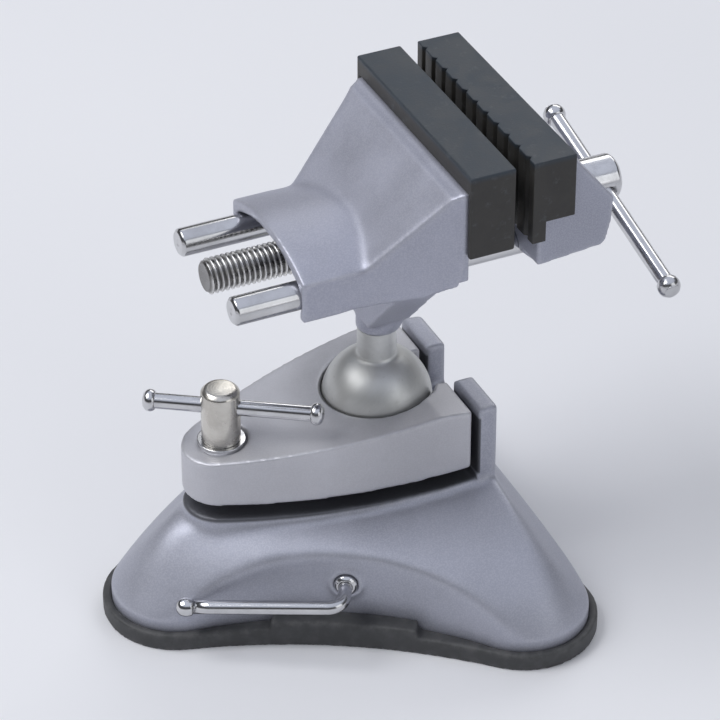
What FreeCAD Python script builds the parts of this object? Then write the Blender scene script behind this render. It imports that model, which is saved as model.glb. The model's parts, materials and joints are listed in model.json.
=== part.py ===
"""Small suction base vise for the bench: a ball joint head with 70 mm soft jaws on a three lobed foot.

Frame: millimetres, +Z up. The origin lies on the bench under the middle of the suction cup.
X runs along the vise: the clamp screw is at -X, the sliding jaw and its screw hub at +X.
The suction lever is on the -Y side. Every size below is a named cell of the sheet "Sizes".
"""
import FreeCAD
import Part
import math
import os
import re

Vector = FreeCAD.Vector
UP = Vector(0, 0, 1)
ALONG_X = Vector(1, 0, 0)
ALONG_Y = Vector(0, 1, 0)

SIZES = {
    # foot
    "foot_spacing": 95.0,         # between the centres of the three lobes
    "lobe_radius": 18.4,          # of the casting
    "waist": 9.0,                 # casting wall at mid side, out from the line between lobe centres
    "skirt_lip": 2.5,             # rubber outside the casting
    "skirt_floor": 3.0,           # rubber under the casting
    "skirt_waist": 3.4,           # further out at mid side than the casting and the lip
    "skirt_height": 5.2,
    "skirt_raise": 2.6,           # extra height of the rubber at mid side
    "skirt_raise_length": 40.0,
    "rim_height": 8.5,            # where the flare starts, just above the rubber
    "shoulder_height": 21.0,      # of the middle section of the flare
    "shoulder_inset": 9.5,
    "flare_bulge": 7.2,           # how far the flare swells between the lobes
    "flare_top": 30.1,            # height of the top of the flare at the clamp screw
    "flare_top_tilt": 3.4,
    "cavity_radius": 31.5,
    "cavity_straight": 7.0,       # upright part of the cavity
    "cavity_roof": 28.0,
    "cavity_roof_radius": 16.0,
    # deck and clamp plate
    "clamp_offset": 14.0,         # clamp screw, behind the centre of the front lobe
    "deck_nose_radius": 11.0,
    "deck_half_width": 25.0,
    "deck_widest": 75.0,          # place of the full width, behind the front lobe
    "deck_length": 85.5,          # rear face of the ears, behind the front lobe
    "deck_corner": 1.4,
    "ear_gap": 1.8,               # between the rear face of the plate and the ears
    "plate_corner": 1.5,
    "plate_underside": 37.5,      # height at the clamp screw
    "plate_underside_tilt": 1.9,
    "plate_top": 51.9,            # height at the clamp screw
    "plate_top_tilt": 7.2,
    "plate_rear_top": 57.8,       # the top falls again behind the ball
    "plate_rear_fall": 6.0,
    "plate_gap": 4.4,             # between the deck and the plate
    "ear_thickness": 6.0,
    "ear_top": 57.6,
    "stem_slot": 16.5,            # width of the slot for the tilted neck
    "stem_slot_floor": 44.5,
    "plate_lift": 0.5,            # travel of the plate when the clamp is loose
    # ball joint
    "ball_offset": 60.35,         # ball centre, behind the front lobe
    "ball_height": 52.8,
    "ball_radius": 15.4,
    "ball_play": 0.1,
    "socket_boss_radius": 10.5,   # of the seat that rises from the deck under the ball
    "socket_boss_depth": 13.2,    # its rim, below the ball centre
    "ball_mouth_radius": 16.2,           # radius of the countersink round the ball
    "ball_mouth_depth": 3.2,      # its floor, above the ball centre
    "neck_radius": 5.4,
    "shank_radius": 4.0,
    "shank_clear": 1.3,           # between the end of the shank and the lead screw
    "shank_groove_radius": 3.0,
    "shank_groove_width": 4.2,
    # clamp screw
    "clamp_head_radius": 5.35,
    "clamp_head_height": 16.4,
    "clamp_shank_radius": 3.0,
    "clamp_shank_length": 30.0,
    "clamp_washer_radius": 6.65,
    "clamp_washer_thickness": 1.6,
    "seat_depth": 0.9,            # of the spot face under the washer, below the plate top
    "clamp_bar_radius": 2.2,
    "clamp_bar_length": 49.5,
    "clamp_bar_rise": 11.1,          # axis of the bar, over the clamp plate
    "clamp_bar_shift": 3.5,
    "clamp_bar_angle": -33.0,
    "clamp_cap_radius": 3.1,
    "clamp_cap_length": 3.5,
    # suction mechanism
    "lever_shaft_radius": 3.2,
    "lever_shaft_height": 17.6,
    "lever_shaft_proud": 1.2,     # end of the shaft, outside its boss
    "lever_boss_radius": 4.8,
    "lever_boss_proud": 1.0,      # outside the wall at mid side
    "crank_pin_radius": 1.6,
    "crank_throw": 1.5,
    "crank_slot_play": 0.35,
    "lever_bar_radius": 1.9,
    "lever_bar_reach": 43.4,      # from the shaft to the far end of the bar
    "lever_bar_bend": 4.2,        # radius of the bend from the shaft into the bar
    "lever_socket_depth": 10.0,   # of the bar in the end of the shaft
    "lever_stand_off": 19.9,      # plane of the bar, from the line between the lobes
    "lever_droop_angle": 3.7,
    "lever_knob_radius": 2.6,
    "lever_knob_length": 4.6,
    "clip_seat": 19.0,            # spot face for the clip, from the middle of the foot
    "clip_radius": 4.7,
    "clip_thickness": 0.8,
    "clip_groove_radius": 2.7,
    "cup_radius": 30.8,
    "cup_clear": 0.3,             # under the cup when the lever is released
    "cup_dish": 1.2,
    "cup_plate_radius": 18.0,
    "cup_plate_thickness": 2.0,
    "stud_radius": 4.5,
    "stud_spigot_radius": 3.0,
    "yoke_length": 12.6,
    "yoke_thickness": 8.6,
    "yoke_height": 10.5,
    # head
    "neck_length": 23.5,          # from the ball centre to the lower end of the stem
    "pad_length": 70.0,
    "pad_height": 24.6,
    "pad_wall": 4.0,              # the gripping wall of a pad
    "pad_roof": 3.0,
    "pad_end": 1.9,
    "fixed_pad_face": 23.2,       # gripping face of the fixed pad, from the neck axis
    "fixed_pad_thickness": 13.0,
    "fixed_pad_lip": 2.5,
    "fixed_pad_lip_drop": 5.6,
    "jaw_gap": 5.1,
    "moving_pad_thickness": 12.4,
    "moving_pad_flap": 2.5,
    "moving_pad_flap_height": 18.6,
    "pad_play": 0.05,
    "pad_groove_depth": 1.1,
    "pad_groove_pitch": 6.2,
    "wedge_bevel": 3.6,
    "wedge_bevel_drop": 1.3,
    "wedge_toe": 19.0,            # foot of the slope, in front of the neck axis
    "flare_start": 16.0,          # where the flanks leave the hood, in front of the neck axis
    "slope_foot": 32.0,           # depth of the foot of the slope
    "wing_depth": 33.9,           # underside of the wings at the pad, below the pad tops
    "wing_knee": 0.5,             # where that underside bends, behind the neck axis
    "wing_knee_depth": 37.6,
    "wing_corner": 1.6,
    "web_top_depth": 31.0,
    "web_depth": 59.0,
    "web_half_width": 6.5,
    "web_front": 5.6,
    "web_back": 7.0,
    "hood_half_width": 23.3,
    "hood_front": 32.0,           # open end of the hood, in front of the neck axis
    "hood_crown": 22.5,           # below the pad tops
    "hood_shoulder": 28.0,
    "hood_bottom": 39.7,
    "hood_wall": 2.6,
    "hood_depth": 23.0,
    "guide_back": 16.0,           # face of the guide block, from the neck axis
    "stem_top_radius": 8.2,
    "stem_top_shift": 4.0,
    "stem_waist_depth": 54.0,
    "stem_waist_radius": 7.8,
    "stem_waist_shift": 2.5,
    "stem_end_depth": 63.2,
    "stem_end_radius": 6.1,
    "rod_depth": 34.0,            # rods and lead screw, below the pad tops
    "rod_spacing": 36.0,
    "rod_radius": 3.9,
    "rod_front": 50.0,            # front ends of the rods, in front of the neck axis
    "rod_back": 46.0,
    "rod_play": 0.06,
    # sliding jaw and its screw
    "slope_front": 2.2,           # where the outer slope starts, below the pad tops
    "slope_end": 17.6,
    "slope_run": 12.6,
    "heel_depth": 31.6,            # underside of the body at the rear, below the pad tops
    "toe_depth": 33.2,             # and at the front
    "heel_corner": 3.2,
    "block_front": 31.0,          # face of the sliding jaw's block, from the neck axis
    "block_back": 51.5,
    "block_half_width": 24.0,
    "block_half_width_back": 9.5,
    "block_taper_start": 37.0,
    "block_top": 25.2,
    "block_bottom": 40.0,
    "block_chamfer": 6.0,          # along the front of its underside
    "screw_thread_radius": 4.9,
    "screw_journal_radius": 5.0,
    "screw_play": 0.07,
    "hub_radius": 6.4,
    "hub_back": 71.2,
    "hub_bar_place": 66.2,
    "nut_radius": 8.0,
    "nut_length": 12.0,
    "collar_radius": 7.2,
    "collar_thickness": 3.0,
    "collar_pin_radius": 1.0,
    "set_screw_radius": 2.0,
    "rod_set_screw_place": 41.5,
    "jaw_bar_radius": 2.25,
    "jaw_bar_length": 74.5,
    "jaw_bar_shift": 8.2,
    "jaw_bar_angle": 13.5,
    "jaw_cap_radius": 3.2,
    "jaw_cap_length": 4.5,
    "bar_play": 0.08,
}

# sizes that follow from the ones above
FORMULAS = {
    "jaw_top": "ball_height + neck_length + stem_end_depth",
    "clamp_seat": "plate_top - seat_depth",
    "clamp_bar_height": "plate_top + clamp_bar_rise",
    "plate_length": "deck_length - ear_thickness - ear_gap",
    "shank_length": "stem_end_depth - rod_depth - screw_thread_radius - shank_clear",
    "lever_boss_reach": "foot_spacing / (2 * sqrt(3)) + waist + lever_boss_proud",
    "lever_shaft_reach": "foot_spacing / (2 * sqrt(3)) + waist + lever_boss_proud + lever_shaft_proud",
    "lever_bar_offset": "foot_spacing / (2 * sqrt(3)) + lever_stand_off",
}

doc = FreeCAD.newDocument("suction_base_vise")
sheet = doc.addObject("Spreadsheet::Sheet", "Sizes")
cells = {alias: str(value) for alias, value in SIZES.items()}
cells.update((alias, "=" + formula) for alias, formula in FORMULAS.items())
for row, (alias, content) in enumerate(cells.items(), start=1):
    sheet.set("A%d" % row, alias)
    sheet.set("B%d" % row, content)
    sheet.setAlias("B%d" % row, alias)
doc.recompute()


def size(alias):
    """The value of one cell, in millimetres or degrees."""
    return float(sheet.get(alias))


# ---------------------------------------------------------------- small builders

def bind(obj, **properties):
    """Tie properties to the sheet: words of a text value are aliases, numbers stay as they are."""
    for name, value in properties.items():
        if isinstance(value, str):
            obj.setExpression(name, re.sub(r"[a-z_]{4,}", r"Sizes.\g<0>", value))
        else:
            setattr(obj, name, value)
    return obj


def cylinder(name, radius, height, at, axis=UP):
    obj = bind(doc.addObject("Part::Cylinder", name), Radius=radius, Height=height)
    obj.Placement = FreeCAD.Placement(at, FreeCAD.Rotation(UP, axis))
    return obj


def cone(name, radius_low, radius_high, height, at, axis=UP):
    obj = bind(doc.addObject("Part::Cone", name), Radius1=radius_low, Radius2=radius_high, Height=height)
    obj.Placement = FreeCAD.Placement(at, FreeCAD.Rotation(UP, axis))
    return obj


def sphere(name, radius, at):
    obj = bind(doc.addObject("Part::Sphere", name), Radius=radius)
    obj.Placement = FreeCAD.Placement(at, FreeCAD.Rotation())
    return obj


def box(name, length, width, height, low, turn=None):
    """A box by its sizes along X, Y and Z and its lowest corner, turned about that corner."""
    obj = bind(doc.addObject("Part::Box", name), Length=length, Width=width, Height=height)
    obj.Placement = FreeCAD.Placement(low, turn or FreeCAD.Rotation())
    return obj


def block(name, low, high):
    """A box between two corners."""
    return box(name, high.x - low.x, high.y - low.y, high.z - low.z, low)


def fuse(name, *parts):
    obj = doc.addObject("Part::MultiFuse", name)
    obj.Shapes = list(parts)
    obj.Refine = True
    return obj


def common(name, *parts):
    obj = doc.addObject("Part::MultiCommon", name)
    obj.Shapes = list(parts)
    obj.Refine = True
    return obj


def cut(name, base, *tools):
    tool = tools[0] if len(tools) == 1 else fuse(name + "_tools", *tools)
    obj = doc.addObject("Part::Cut", name)
    obj.Base, obj.Tool, obj.Refine = base, tool, True
    return obj


def group(name, *parts):
    obj = doc.addObject("Part::Compound", name)
    obj.Links = list(parts)
    return obj


def feature(name, shape):
    """A plain feature, for outlines of tangent arcs that no primitive holds."""
    obj = doc.addObject("Part::Feature", name)
    obj.Shape = shape
    return obj


def prism(name, outline, low, high, axis=UP):
    return feature(name, Part.Face(outline.translated(axis * low)).extrude(axis * (high - low)))


def profile(name, corners, low, high):
    """A closed polygon of (x, z) corners, drawn out along Y."""
    points = [Vector(x, low, z) for x, z in corners]
    face = Part.Face(Part.makePolygon(points + points[:1]))
    return feature(name, face.extrude(ALONG_Y * (high - low)))


def through(start, end, *middle):
    """A straight edge, or an arc through one middle point."""
    if middle:
        return Part.Arc(start, middle[0], end).toShape()
    return Part.LineSegment(start, end).toShape()


# ---------------------------------------------------------------- shared places

foot_reach = size("foot_spacing") / math.sqrt(3)
front_lobe = Vector(-foot_reach, 0, 0)
near_lobe = Vector(foot_reach / 2, -size("foot_spacing") / 2, 0)
far_lobe = Vector(foot_reach / 2, size("foot_spacing") / 2, 0)
lobes = [front_lobe, near_lobe, far_lobe]

clamp_x = size("clamp_offset") - foot_reach
ball = Vector(size("ball_offset") - foot_reach, 0, size("ball_height"))
deck_rear = size("deck_length") - foot_reach
plate_rear = size("plate_length") - foot_reach
ear_front = deck_rear - size("ear_thickness")

# the lever shaft leaves square to the near side; "side" runs along that side to the front lobe
shaft_out = (front_lobe + near_lobe).normalize()
side = (front_lobe - near_lobe).normalize()


def on_shaft(reach, height=size("lever_shaft_height")):
    return shaft_out * reach + UP * height


def head(x, y, depth):
    """A place on the head: from the neck axis, and below the tops of the pads."""
    return Vector(ball.x + x, y, size("jaw_top") - depth)


def foot_outline(radius, waist):
    """Three lobes joined by tangent arcs that pass "waist" outside the lines between their centres."""
    ends, edges = [], []
    for start, end in zip(lobes, lobes[1:] + lobes[:1]):
        middle = (start + end) * 0.5
        out = Vector(middle).normalize()
        half = (end - start).Length / 2
        arc_radius = (half ** 2 + waist ** 2 - radius ** 2) / (2 * (radius - waist))
        centre = middle + out * (arc_radius + waist)
        touch = [lobe + (centre - lobe) * (radius / (arc_radius + radius)) for lobe in (start, end)]
        ends.append((touch[0], middle + out * waist, touch[1]))
    for number, lobe in enumerate(lobes):
        before, after = ends[number - 1], ends[number]
        tip = lobe + Vector(lobe).normalize() * radius
        edges.append(through(before[2], after[0], tip))
        edges.append(through(after[0], after[2], after[1]))
    return Part.Wire(edges)


def deck_outline(rear, corner, inset=0.0):
    """The boat shaped outline of the deck and the plate: a round nose, bowed sides, a straight stern."""
    nose = Vector(clamp_x, 0, 0)
    nose_radius = size("deck_nose_radius") - inset
    half_width = size("deck_half_width") - inset
    rear, widest = rear - inset, size("deck_widest") - foot_reach
    run = widest - nose.x
    bow = (run ** 2 + half_width ** 2 - nose_radius ** 2) / (2 * (half_width - nose_radius))
    touches = []
    for sign in (-1, 1):
        centre = Vector(widest, -sign * (bow - half_width), 0)
        at_nose = nose + (nose - centre).normalize() * nose_radius
        rise = math.sqrt((bow - corner) ** 2 - (rear - corner - widest) ** 2)
        pivot = Vector(rear - corner, centre.y + sign * rise, 0)
        at_side = centre + (pivot - centre).normalize() * bow
        at_rear = Vector(rear, pivot.y, 0)
        on_side = centre + ((at_nose + at_side) * 0.5 - centre).normalize() * bow
        on_corner = pivot + ((at_side + at_rear) * 0.5 - pivot).normalize() * corner
        touches.append((at_nose, on_side, at_side, on_corner, at_rear))
    near, far = touches
    tip = nose - ALONG_X * nose_radius
    return Part.Wire([
        through(far[0], near[0], tip), through(near[0], near[2], near[1]),
        through(near[2], near[4], near[3]), through(near[4], far[4]),
        through(far[4], far[2], far[3]), through(far[2], far[0], far[1])])


def lying(outline, height, tilt):
    """An outline laid on a plane that rises to the rear, at the given height by the clamp screw."""
    placed = outline.copy()
    placed.rotate(Vector(clamp_x, 0, 0), ALONG_Y, -tilt)
    return placed.translated(UP * height)


def above(name, height, tilt, place=clamp_x):
    """All space above a plane that rises to the rear, with its height at one place along X."""
    reach = 2 * size("foot_spacing")
    space = Part.makeBox(2 * reach, 2 * reach, reach, Vector(place - reach, -reach, 0))
    space.rotate(Vector(place, 0, 0), ALONG_Y, -tilt)
    return feature(name, space.translated(UP * height))


# ---------------------------------------------------------------- foot

def build_base_casting():
    deck_height = size("plate_underside") - size("plate_gap")
    tilt = size("plate_underside_tilt")
    radius, waist, rim = size("lobe_radius"), size("waist"), size("rim_height")
    swell, inset = size("flare_bulge"), size("shoulder_inset")
    sections = [
        foot_outline(radius, radius + swell).translated(UP * rim),
        foot_outline(radius - inset, radius - inset + swell).translated(UP * size("shoulder_height")),
        lying(deck_outline(deck_rear, size("deck_corner"), 0.6), size("flare_top"), size("flare_top_tilt"))]
    flare = feature("base_flare", Part.makeLoft(sections, True, False))
    walls = prism("base_walls", foot_outline(radius, waist), size("skirt_floor"), size("ear_top"))
    rim_ring = prism("base_rim", foot_outline(radius, waist), size("skirt_floor"), rim)
    outline = deck_outline(deck_rear, size("deck_corner"))
    column = prism("deck_column", outline, rim, size("ear_top"))
    deck = cut("deck", column, above("deck_sky", deck_height, tilt))
    ears = common("ears", column, block("ear_space", Vector(ear_front, -foot_reach, rim),
                                        Vector(deck_rear + 1, foot_reach, size("ear_top"))))
    boss_start = size("cavity_radius")
    boss = cylinder("lever_boss", "lever_boss_radius", size("lever_boss_reach") - boss_start,
                    on_shaft(boss_start), shaft_out)
    seat_top = ball.z - size("socket_boss_depth")
    ball_seat = cylinder("ball_seat", "socket_boss_radius", seat_top - size("cavity_roof") - 1,
                         Vector(ball.x, 0, size("cavity_roof") + 1))
    body = fuse("base_body", common("base_slopes", flare, walls), rim_ring, deck, ears, boss, ball_seat)
    straight_top = size("skirt_floor") + size("cavity_straight")
    cavity = cylinder("cavity_low", "cavity_radius", "cavity_straight", UP * size("skirt_floor"))
    dome = cone("cavity_high", "cavity_radius", "cavity_roof_radius", size("cavity_roof") - straight_top,
                UP * straight_top)
    socket = sphere("ball_socket", "ball_radius + ball_play", ball)
    screw_hole = cylinder("clamp_hole", "clamp_shank_radius + bar_play", size("plate_underside"),
                          Vector(clamp_x, 0, size("clamp_seat") - size("clamp_shank_length") - 2))
    shaft_hole = cylinder("shaft_hole", "lever_shaft_radius + rod_play", foot_reach, on_shaft(5), shaft_out)
    clip_space = cylinder("clip_space", "clip_radius + 0.6", 6, on_shaft(size("clip_seat") - 6), shaft_out)
    slot_half = size("stem_slot") / 2
    notch = block("ear_notch", Vector(ball.x, -slot_half, size("stem_slot_floor")),
                  Vector(deck_rear + 1, slot_half, size("ear_top") + 1))
    return cut("base_casting", body, cavity, dome, socket, screw_hole, shaft_hole, clip_space, notch)


def build_base_skirt():
    lip, floor = size("skirt_lip"), size("skirt_floor")
    radius, waist, top = size("lobe_radius"), size("waist"), size("skirt_height")
    outer = foot_outline(radius + lip, waist + lip + size("skirt_waist"))
    band = prism("skirt_band", outer, 0, top)
    raised = prism("skirt_raised_band", outer, top - 1, top + size("skirt_raise"))
    windows = []
    for number, (start, end) in enumerate(zip(lobes, lobes[1:] + lobes[:1])):
        middle = (start + end) * 0.5
        out = Vector(middle).normalize()
        along = (end - start).normalize()
        corner = middle - along * (size("skirt_raise_length") / 2)
        turn = FreeCAD.Rotation(out, along, UP, "XYZ")
        windows.append(box("raised_window_%d" % number, foot_reach, "skirt_raise_length", foot_reach,
                           corner, turn))
    steps = common("skirt_steps", raised, fuse("raised_windows", *windows))
    pocket = prism("skirt_pocket", foot_outline(radius, waist), floor, foot_reach)
    hole = cylinder("skirt_hole", "cavity_radius", foot_reach, -UP)
    return cut("base_skirt", fuse("skirt_blank", band, steps), pocket, hole)


# ---------------------------------------------------------------- suction cup and its lever

def build_suction_cup():
    low = size("cup_clear")
    disc = cylinder("cup_disc", "cup_radius", size("skirt_floor") - low, UP * low)
    dish = cone("cup_dish", "cup_radius - 2", "stud_radius", "cup_dish", UP * low)
    return cut("suction_cup", disc, dish)


def build_cup_plate():
    blank = cylinder("cup_plate_blank", "cup_plate_radius", "cup_plate_thickness", UP * size("skirt_floor"))
    hole = cylinder("cup_plate_hole", "stud_spigot_radius", "lever_shaft_height", UP * 0)
    return cut("cup_plate", blank, hole)


def build_lift_stud():
    plate_low = size("skirt_floor")
    plate_high = plate_low + size("cup_plate_thickness")
    pin_height = size("lever_shaft_height") - size("crank_throw")
    yoke_low = pin_height - size("yoke_height") / 2
    spigot = cylinder("stud_spigot", "stud_spigot_radius", "cup_plate_thickness", UP * plate_low)
    post = cylinder("stud_post", "stud_radius", yoke_low + 1 - plate_high, UP * plate_high)
    turn = FreeCAD.Rotation(side, shaft_out, UP, "XYZ")
    half = Vector(size("yoke_length") / 2, size("yoke_thickness") / 2, 0)
    yoke = box("stud_yoke", "yoke_length", "yoke_thickness", "yoke_height",
               UP * yoke_low - turn.multVec(half), turn)
    slot_rise = size("crank_pin_radius") + size("crank_slot_play")
    slot_run = slot_rise + size("crank_throw")
    slot = box("stud_slot", 2 * slot_run, "2 * yoke_thickness", 2 * slot_rise,
               UP * (pin_height - slot_rise) - turn.multVec(Vector(slot_run, size("yoke_thickness"), 0)), turn)
    return cut("lift_stud", fuse("stud_blank", spigot, post, yoke), slot)


def build_cam_shaft():
    inner = size("yoke_thickness") / 2 + size("crank_slot_play")
    journal = cylinder("shaft_journal", "lever_shaft_radius", size("lever_shaft_reach") - inner - 0.8,
                       on_shaft(inner), shaft_out)
    tip = cone("shaft_tip", "lever_shaft_radius", "lever_shaft_radius - 0.8", 0.8,
               on_shaft(size("lever_shaft_reach") - 0.8), shaft_out)
    pin_height = size("lever_shaft_height") - size("crank_throw")
    pin = cylinder("crank_pin", "crank_pin_radius", 2 * inner + 1, on_shaft(-inner, pin_height), shaft_out)
    seat = size("clip_seat") - 0.1 - size("clip_thickness")
    ring = cylinder("shaft_ring", "lever_shaft_radius + 1", "clip_thickness", on_shaft(seat), shaft_out)
    core = cylinder("shaft_core", "clip_groove_radius", 6, on_shaft(seat - 2), shaft_out)
    socket = cylinder("shaft_socket", "lever_bar_radius", "lever_socket_depth + 1",
                      on_shaft(size("lever_shaft_reach") - size("lever_socket_depth")), shaft_out)
    return cut("cam_shaft", fuse("shaft_blank", journal, tip, pin), cut("shaft_groove", ring, core), socket)


def build_shaft_clip():
    seat = size("clip_seat") - 0.1 - size("clip_thickness")
    disc = cylinder("clip_disc", "clip_radius", "clip_thickness", on_shaft(seat), shaft_out)
    hole = cylinder("clip_hole", "clip_groove_radius", 6, on_shaft(seat - 2), shaft_out)
    mouth_half = size("clip_groove_radius") * 0.8
    turn = FreeCAD.Rotation(side, shaft_out, UP, "XYZ")
    mouth = box("clip_mouth", 2 * mouth_half, "4 + 2 * clip_thickness", "4 * clip_radius",
                on_shaft(seat - 2) - side * mouth_half, turn)
    return cut("shaft_clip", disc, hole, mouth)


def lever_direction():
    droop = math.radians(size("lever_droop_angle"))
    return side * math.cos(droop) - UP * math.sin(droop)


def build_suction_lever():
    """A round bar pressed into the end of the shaft and bent round into the lever."""
    way, bend = lever_direction(), size("lever_bar_bend")
    start = size("lever_shaft_reach") - size("lever_socket_depth")
    turn_start = size("lever_bar_offset") - bend
    root = cylinder("lever_root", "lever_bar_radius", turn_start - start, on_shaft(start), shaft_out)
    elbow = bind(doc.addObject("Part::Torus", "lever_elbow"), Radius1="lever_bar_bend",
                 Radius2="lever_bar_radius", Angle3=90)
    turn = FreeCAD.Rotation(way * -1, shaft_out, (way * -1).cross(shaft_out), "XYZ")
    elbow.Placement = FreeCAD.Placement(on_shaft(turn_start) + way * bend, turn)
    arm = cylinder("lever_arm", "lever_bar_radius", "lever_bar_reach - lever_bar_bend",
                   on_shaft(size("lever_bar_offset")) + way * bend, way)
    return fuse("suction_lever", root, elbow, arm)


def knob(name, radius, length, bore, inner_end, axis):
    """A round cap on a bar end, with a domed outer end and a blind bore for the bar."""
    skin = cylinder(name + "_skin", radius, length, inner_end, axis)
    dome_centre = inner_end + axis * (size(length) - 1.25 * size(radius))
    dome = sphere(name + "_dome", "1.25 * " + radius, dome_centre)
    reach = cylinder(name + "_reach", "2 * " + radius, 0.6 * size(length), inner_end, axis)
    blank = common(name + "_round", skin, fuse(name + "_form", dome, reach))
    return cut(name, blank, cylinder(name + "_bore", bore, 0.6 * size(length), inner_end, axis))


def capped_bar(bar_name, caps_name, radius, length, cap_radius, cap_length, middle, axis):
    """A sliding bar whose ends sit in two round caps; length runs over the caps."""
    cap_bore = 0.6 * size(cap_length)
    half = size(length) / 2 - size(cap_length)
    bar = cylinder(bar_name, radius, 2 * (half + cap_bore), middle - axis * (half + cap_bore), axis)
    caps = [knob("%s_%d" % (caps_name, number), cap_radius, cap_length, radius,
                 middle + way * half, way) for number, way in enumerate((axis, axis * -1))]
    return bar, group(caps_name, *caps)


def build_lever_knob():
    way, bore_depth = lever_direction(), 0.6 * size("lever_knob_length")
    inner_end = on_shaft(size("lever_bar_offset")) + way * (size("lever_bar_reach") - bore_depth)
    return knob("lever_knob", "lever_knob_radius", "lever_knob_length", "lever_bar_radius", inner_end, way)


# ---------------------------------------------------------------- clamp plate and clamp screw

def build_clamp_plate():
    outline = deck_outline(plate_rear, size("plate_corner"))
    blank = prism("plate_blank", outline, size("rim_height"), size("jaw_top"))
    below = cut("plate_lid", blank, above("plate_sky", size("plate_top"), size("plate_top_tilt")))
    plate = common("plate_body", below, above("plate_space", size("plate_underside"),
                                              size("plate_underside_tilt")))
    radius = "ball_radius + ball_play"
    bore = cylinder("plate_ball_bore", radius, "ball_height", Vector(ball.x, 0, 0))
    seat = sphere("plate_ball_seat", radius, ball)
    mouth = cylinder("plate_ball_mouth", "ball_mouth_radius", "jaw_top", ball + UP * size("ball_mouth_depth"))
    slot_half = size("stem_slot") / 2
    slot = block("plate_slot", Vector(ball.x, -slot_half, size("stem_slot_floor")),
                 Vector(plate_rear + 1, slot_half, size("jaw_top")))
    screw_hole = cylinder("plate_screw_hole", "clamp_shank_radius + 0.4", "jaw_top", Vector(clamp_x, 0, 0))
    spot = cylinder("plate_spot_face", "clamp_washer_radius + 0.6", "jaw_top", Vector(clamp_x, 0, size("clamp_seat")))
    rear_sky = above("plate_rear_sky", size("plate_rear_top"), -size("plate_rear_fall"), plate_rear)
    return cut("clamp_plate", plate, rear_sky, bore, seat, mouth, slot, screw_hole, spot)


def build_clamp_washer():
    at = Vector(clamp_x, 0, size("clamp_seat"))
    disc = cylinder("washer_disc", "clamp_washer_radius", "clamp_washer_thickness", at)
    return cut("clamp_washer", disc, cylinder("washer_hole", "clamp_shank_radius + 0.2", 5, at))


def clamp_bar_way():
    turn = math.radians(size("clamp_bar_angle"))
    return Vector(math.cos(turn), math.sin(turn), 0)


def build_clamp_screw():
    seat = size("clamp_seat") + size("clamp_washer_thickness")
    crown = 1.2
    head_blank = cylinder("clamp_head", "clamp_head_radius", size("clamp_head_height") - crown,
                          Vector(clamp_x, 0, seat))
    top = cone("clamp_crown", "clamp_head_radius", "clamp_head_radius - 1.2", crown,
               Vector(clamp_x, 0, seat + size("clamp_head_height") - crown))
    shank = cylinder("clamp_shank", "clamp_shank_radius", "clamp_shank_length",
                     Vector(clamp_x, 0, seat - size("clamp_shank_length")))
    way = clamp_bar_way()
    bar_hole = cylinder("clamp_bar_hole", "clamp_bar_radius + bar_play", "6 * clamp_head_radius",
                        Vector(clamp_x, 0, size("clamp_bar_height")) - way * 3 * size("clamp_head_radius"), way)
    return cut("clamp_screw", fuse("clamp_screw_blank", head_blank, top, shank), bar_hole)


def build_clamp_bar():
    way = clamp_bar_way()
    middle = Vector(clamp_x, 0, size("clamp_bar_height")) + way * size("clamp_bar_shift")
    return capped_bar("clamp_bar", "clamp_bar_caps", "clamp_bar_radius", "clamp_bar_length",
                      "clamp_cap_radius", "clamp_cap_length", middle, way)


# ---------------------------------------------------------------- ball stud

def build_ball_stud():
    shoulder = size("jaw_top") - size("stem_end_depth") - 0.1
    neck = cylinder("stud_neck", "neck_radius", shoulder - ball.z, ball)
    shank = cylinder("stud_shank", "shank_radius", "shank_length", Vector(ball.x, 0, shoulder))
    groove_low = Vector(ball.x, 0, shoulder + size("shank_length") / 2 - size("shank_groove_width") / 2)
    ring = cylinder("stud_groove_ring", "shank_radius + 1", "shank_groove_width", groove_low)
    core = cylinder("stud_groove_core", "shank_groove_radius", "shank_groove_width", groove_low)
    blank = fuse("ball_stud_blank", sphere("stud_ball", "ball_radius", ball), neck, shank)
    return cut("ball_stud", blank, cut("stud_groove", ring, core))


def grub_place():
    """Axis of the grub screw that holds the head on its stud, at mid groove."""
    shoulder = size("jaw_top") - size("stem_end_depth") - 0.1
    return Vector(ball.x, 0, shoulder + size("shank_length") / 2)


def build_stud_grub_screw():
    start = size("shank_groove_radius") + 0.15
    return cylinder("stud_grub_screw", "set_screw_radius", 4.2, grub_place() + ALONG_Y * start, ALONG_Y)


# ---------------------------------------------------------------- fixed jaw and its pad

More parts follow.
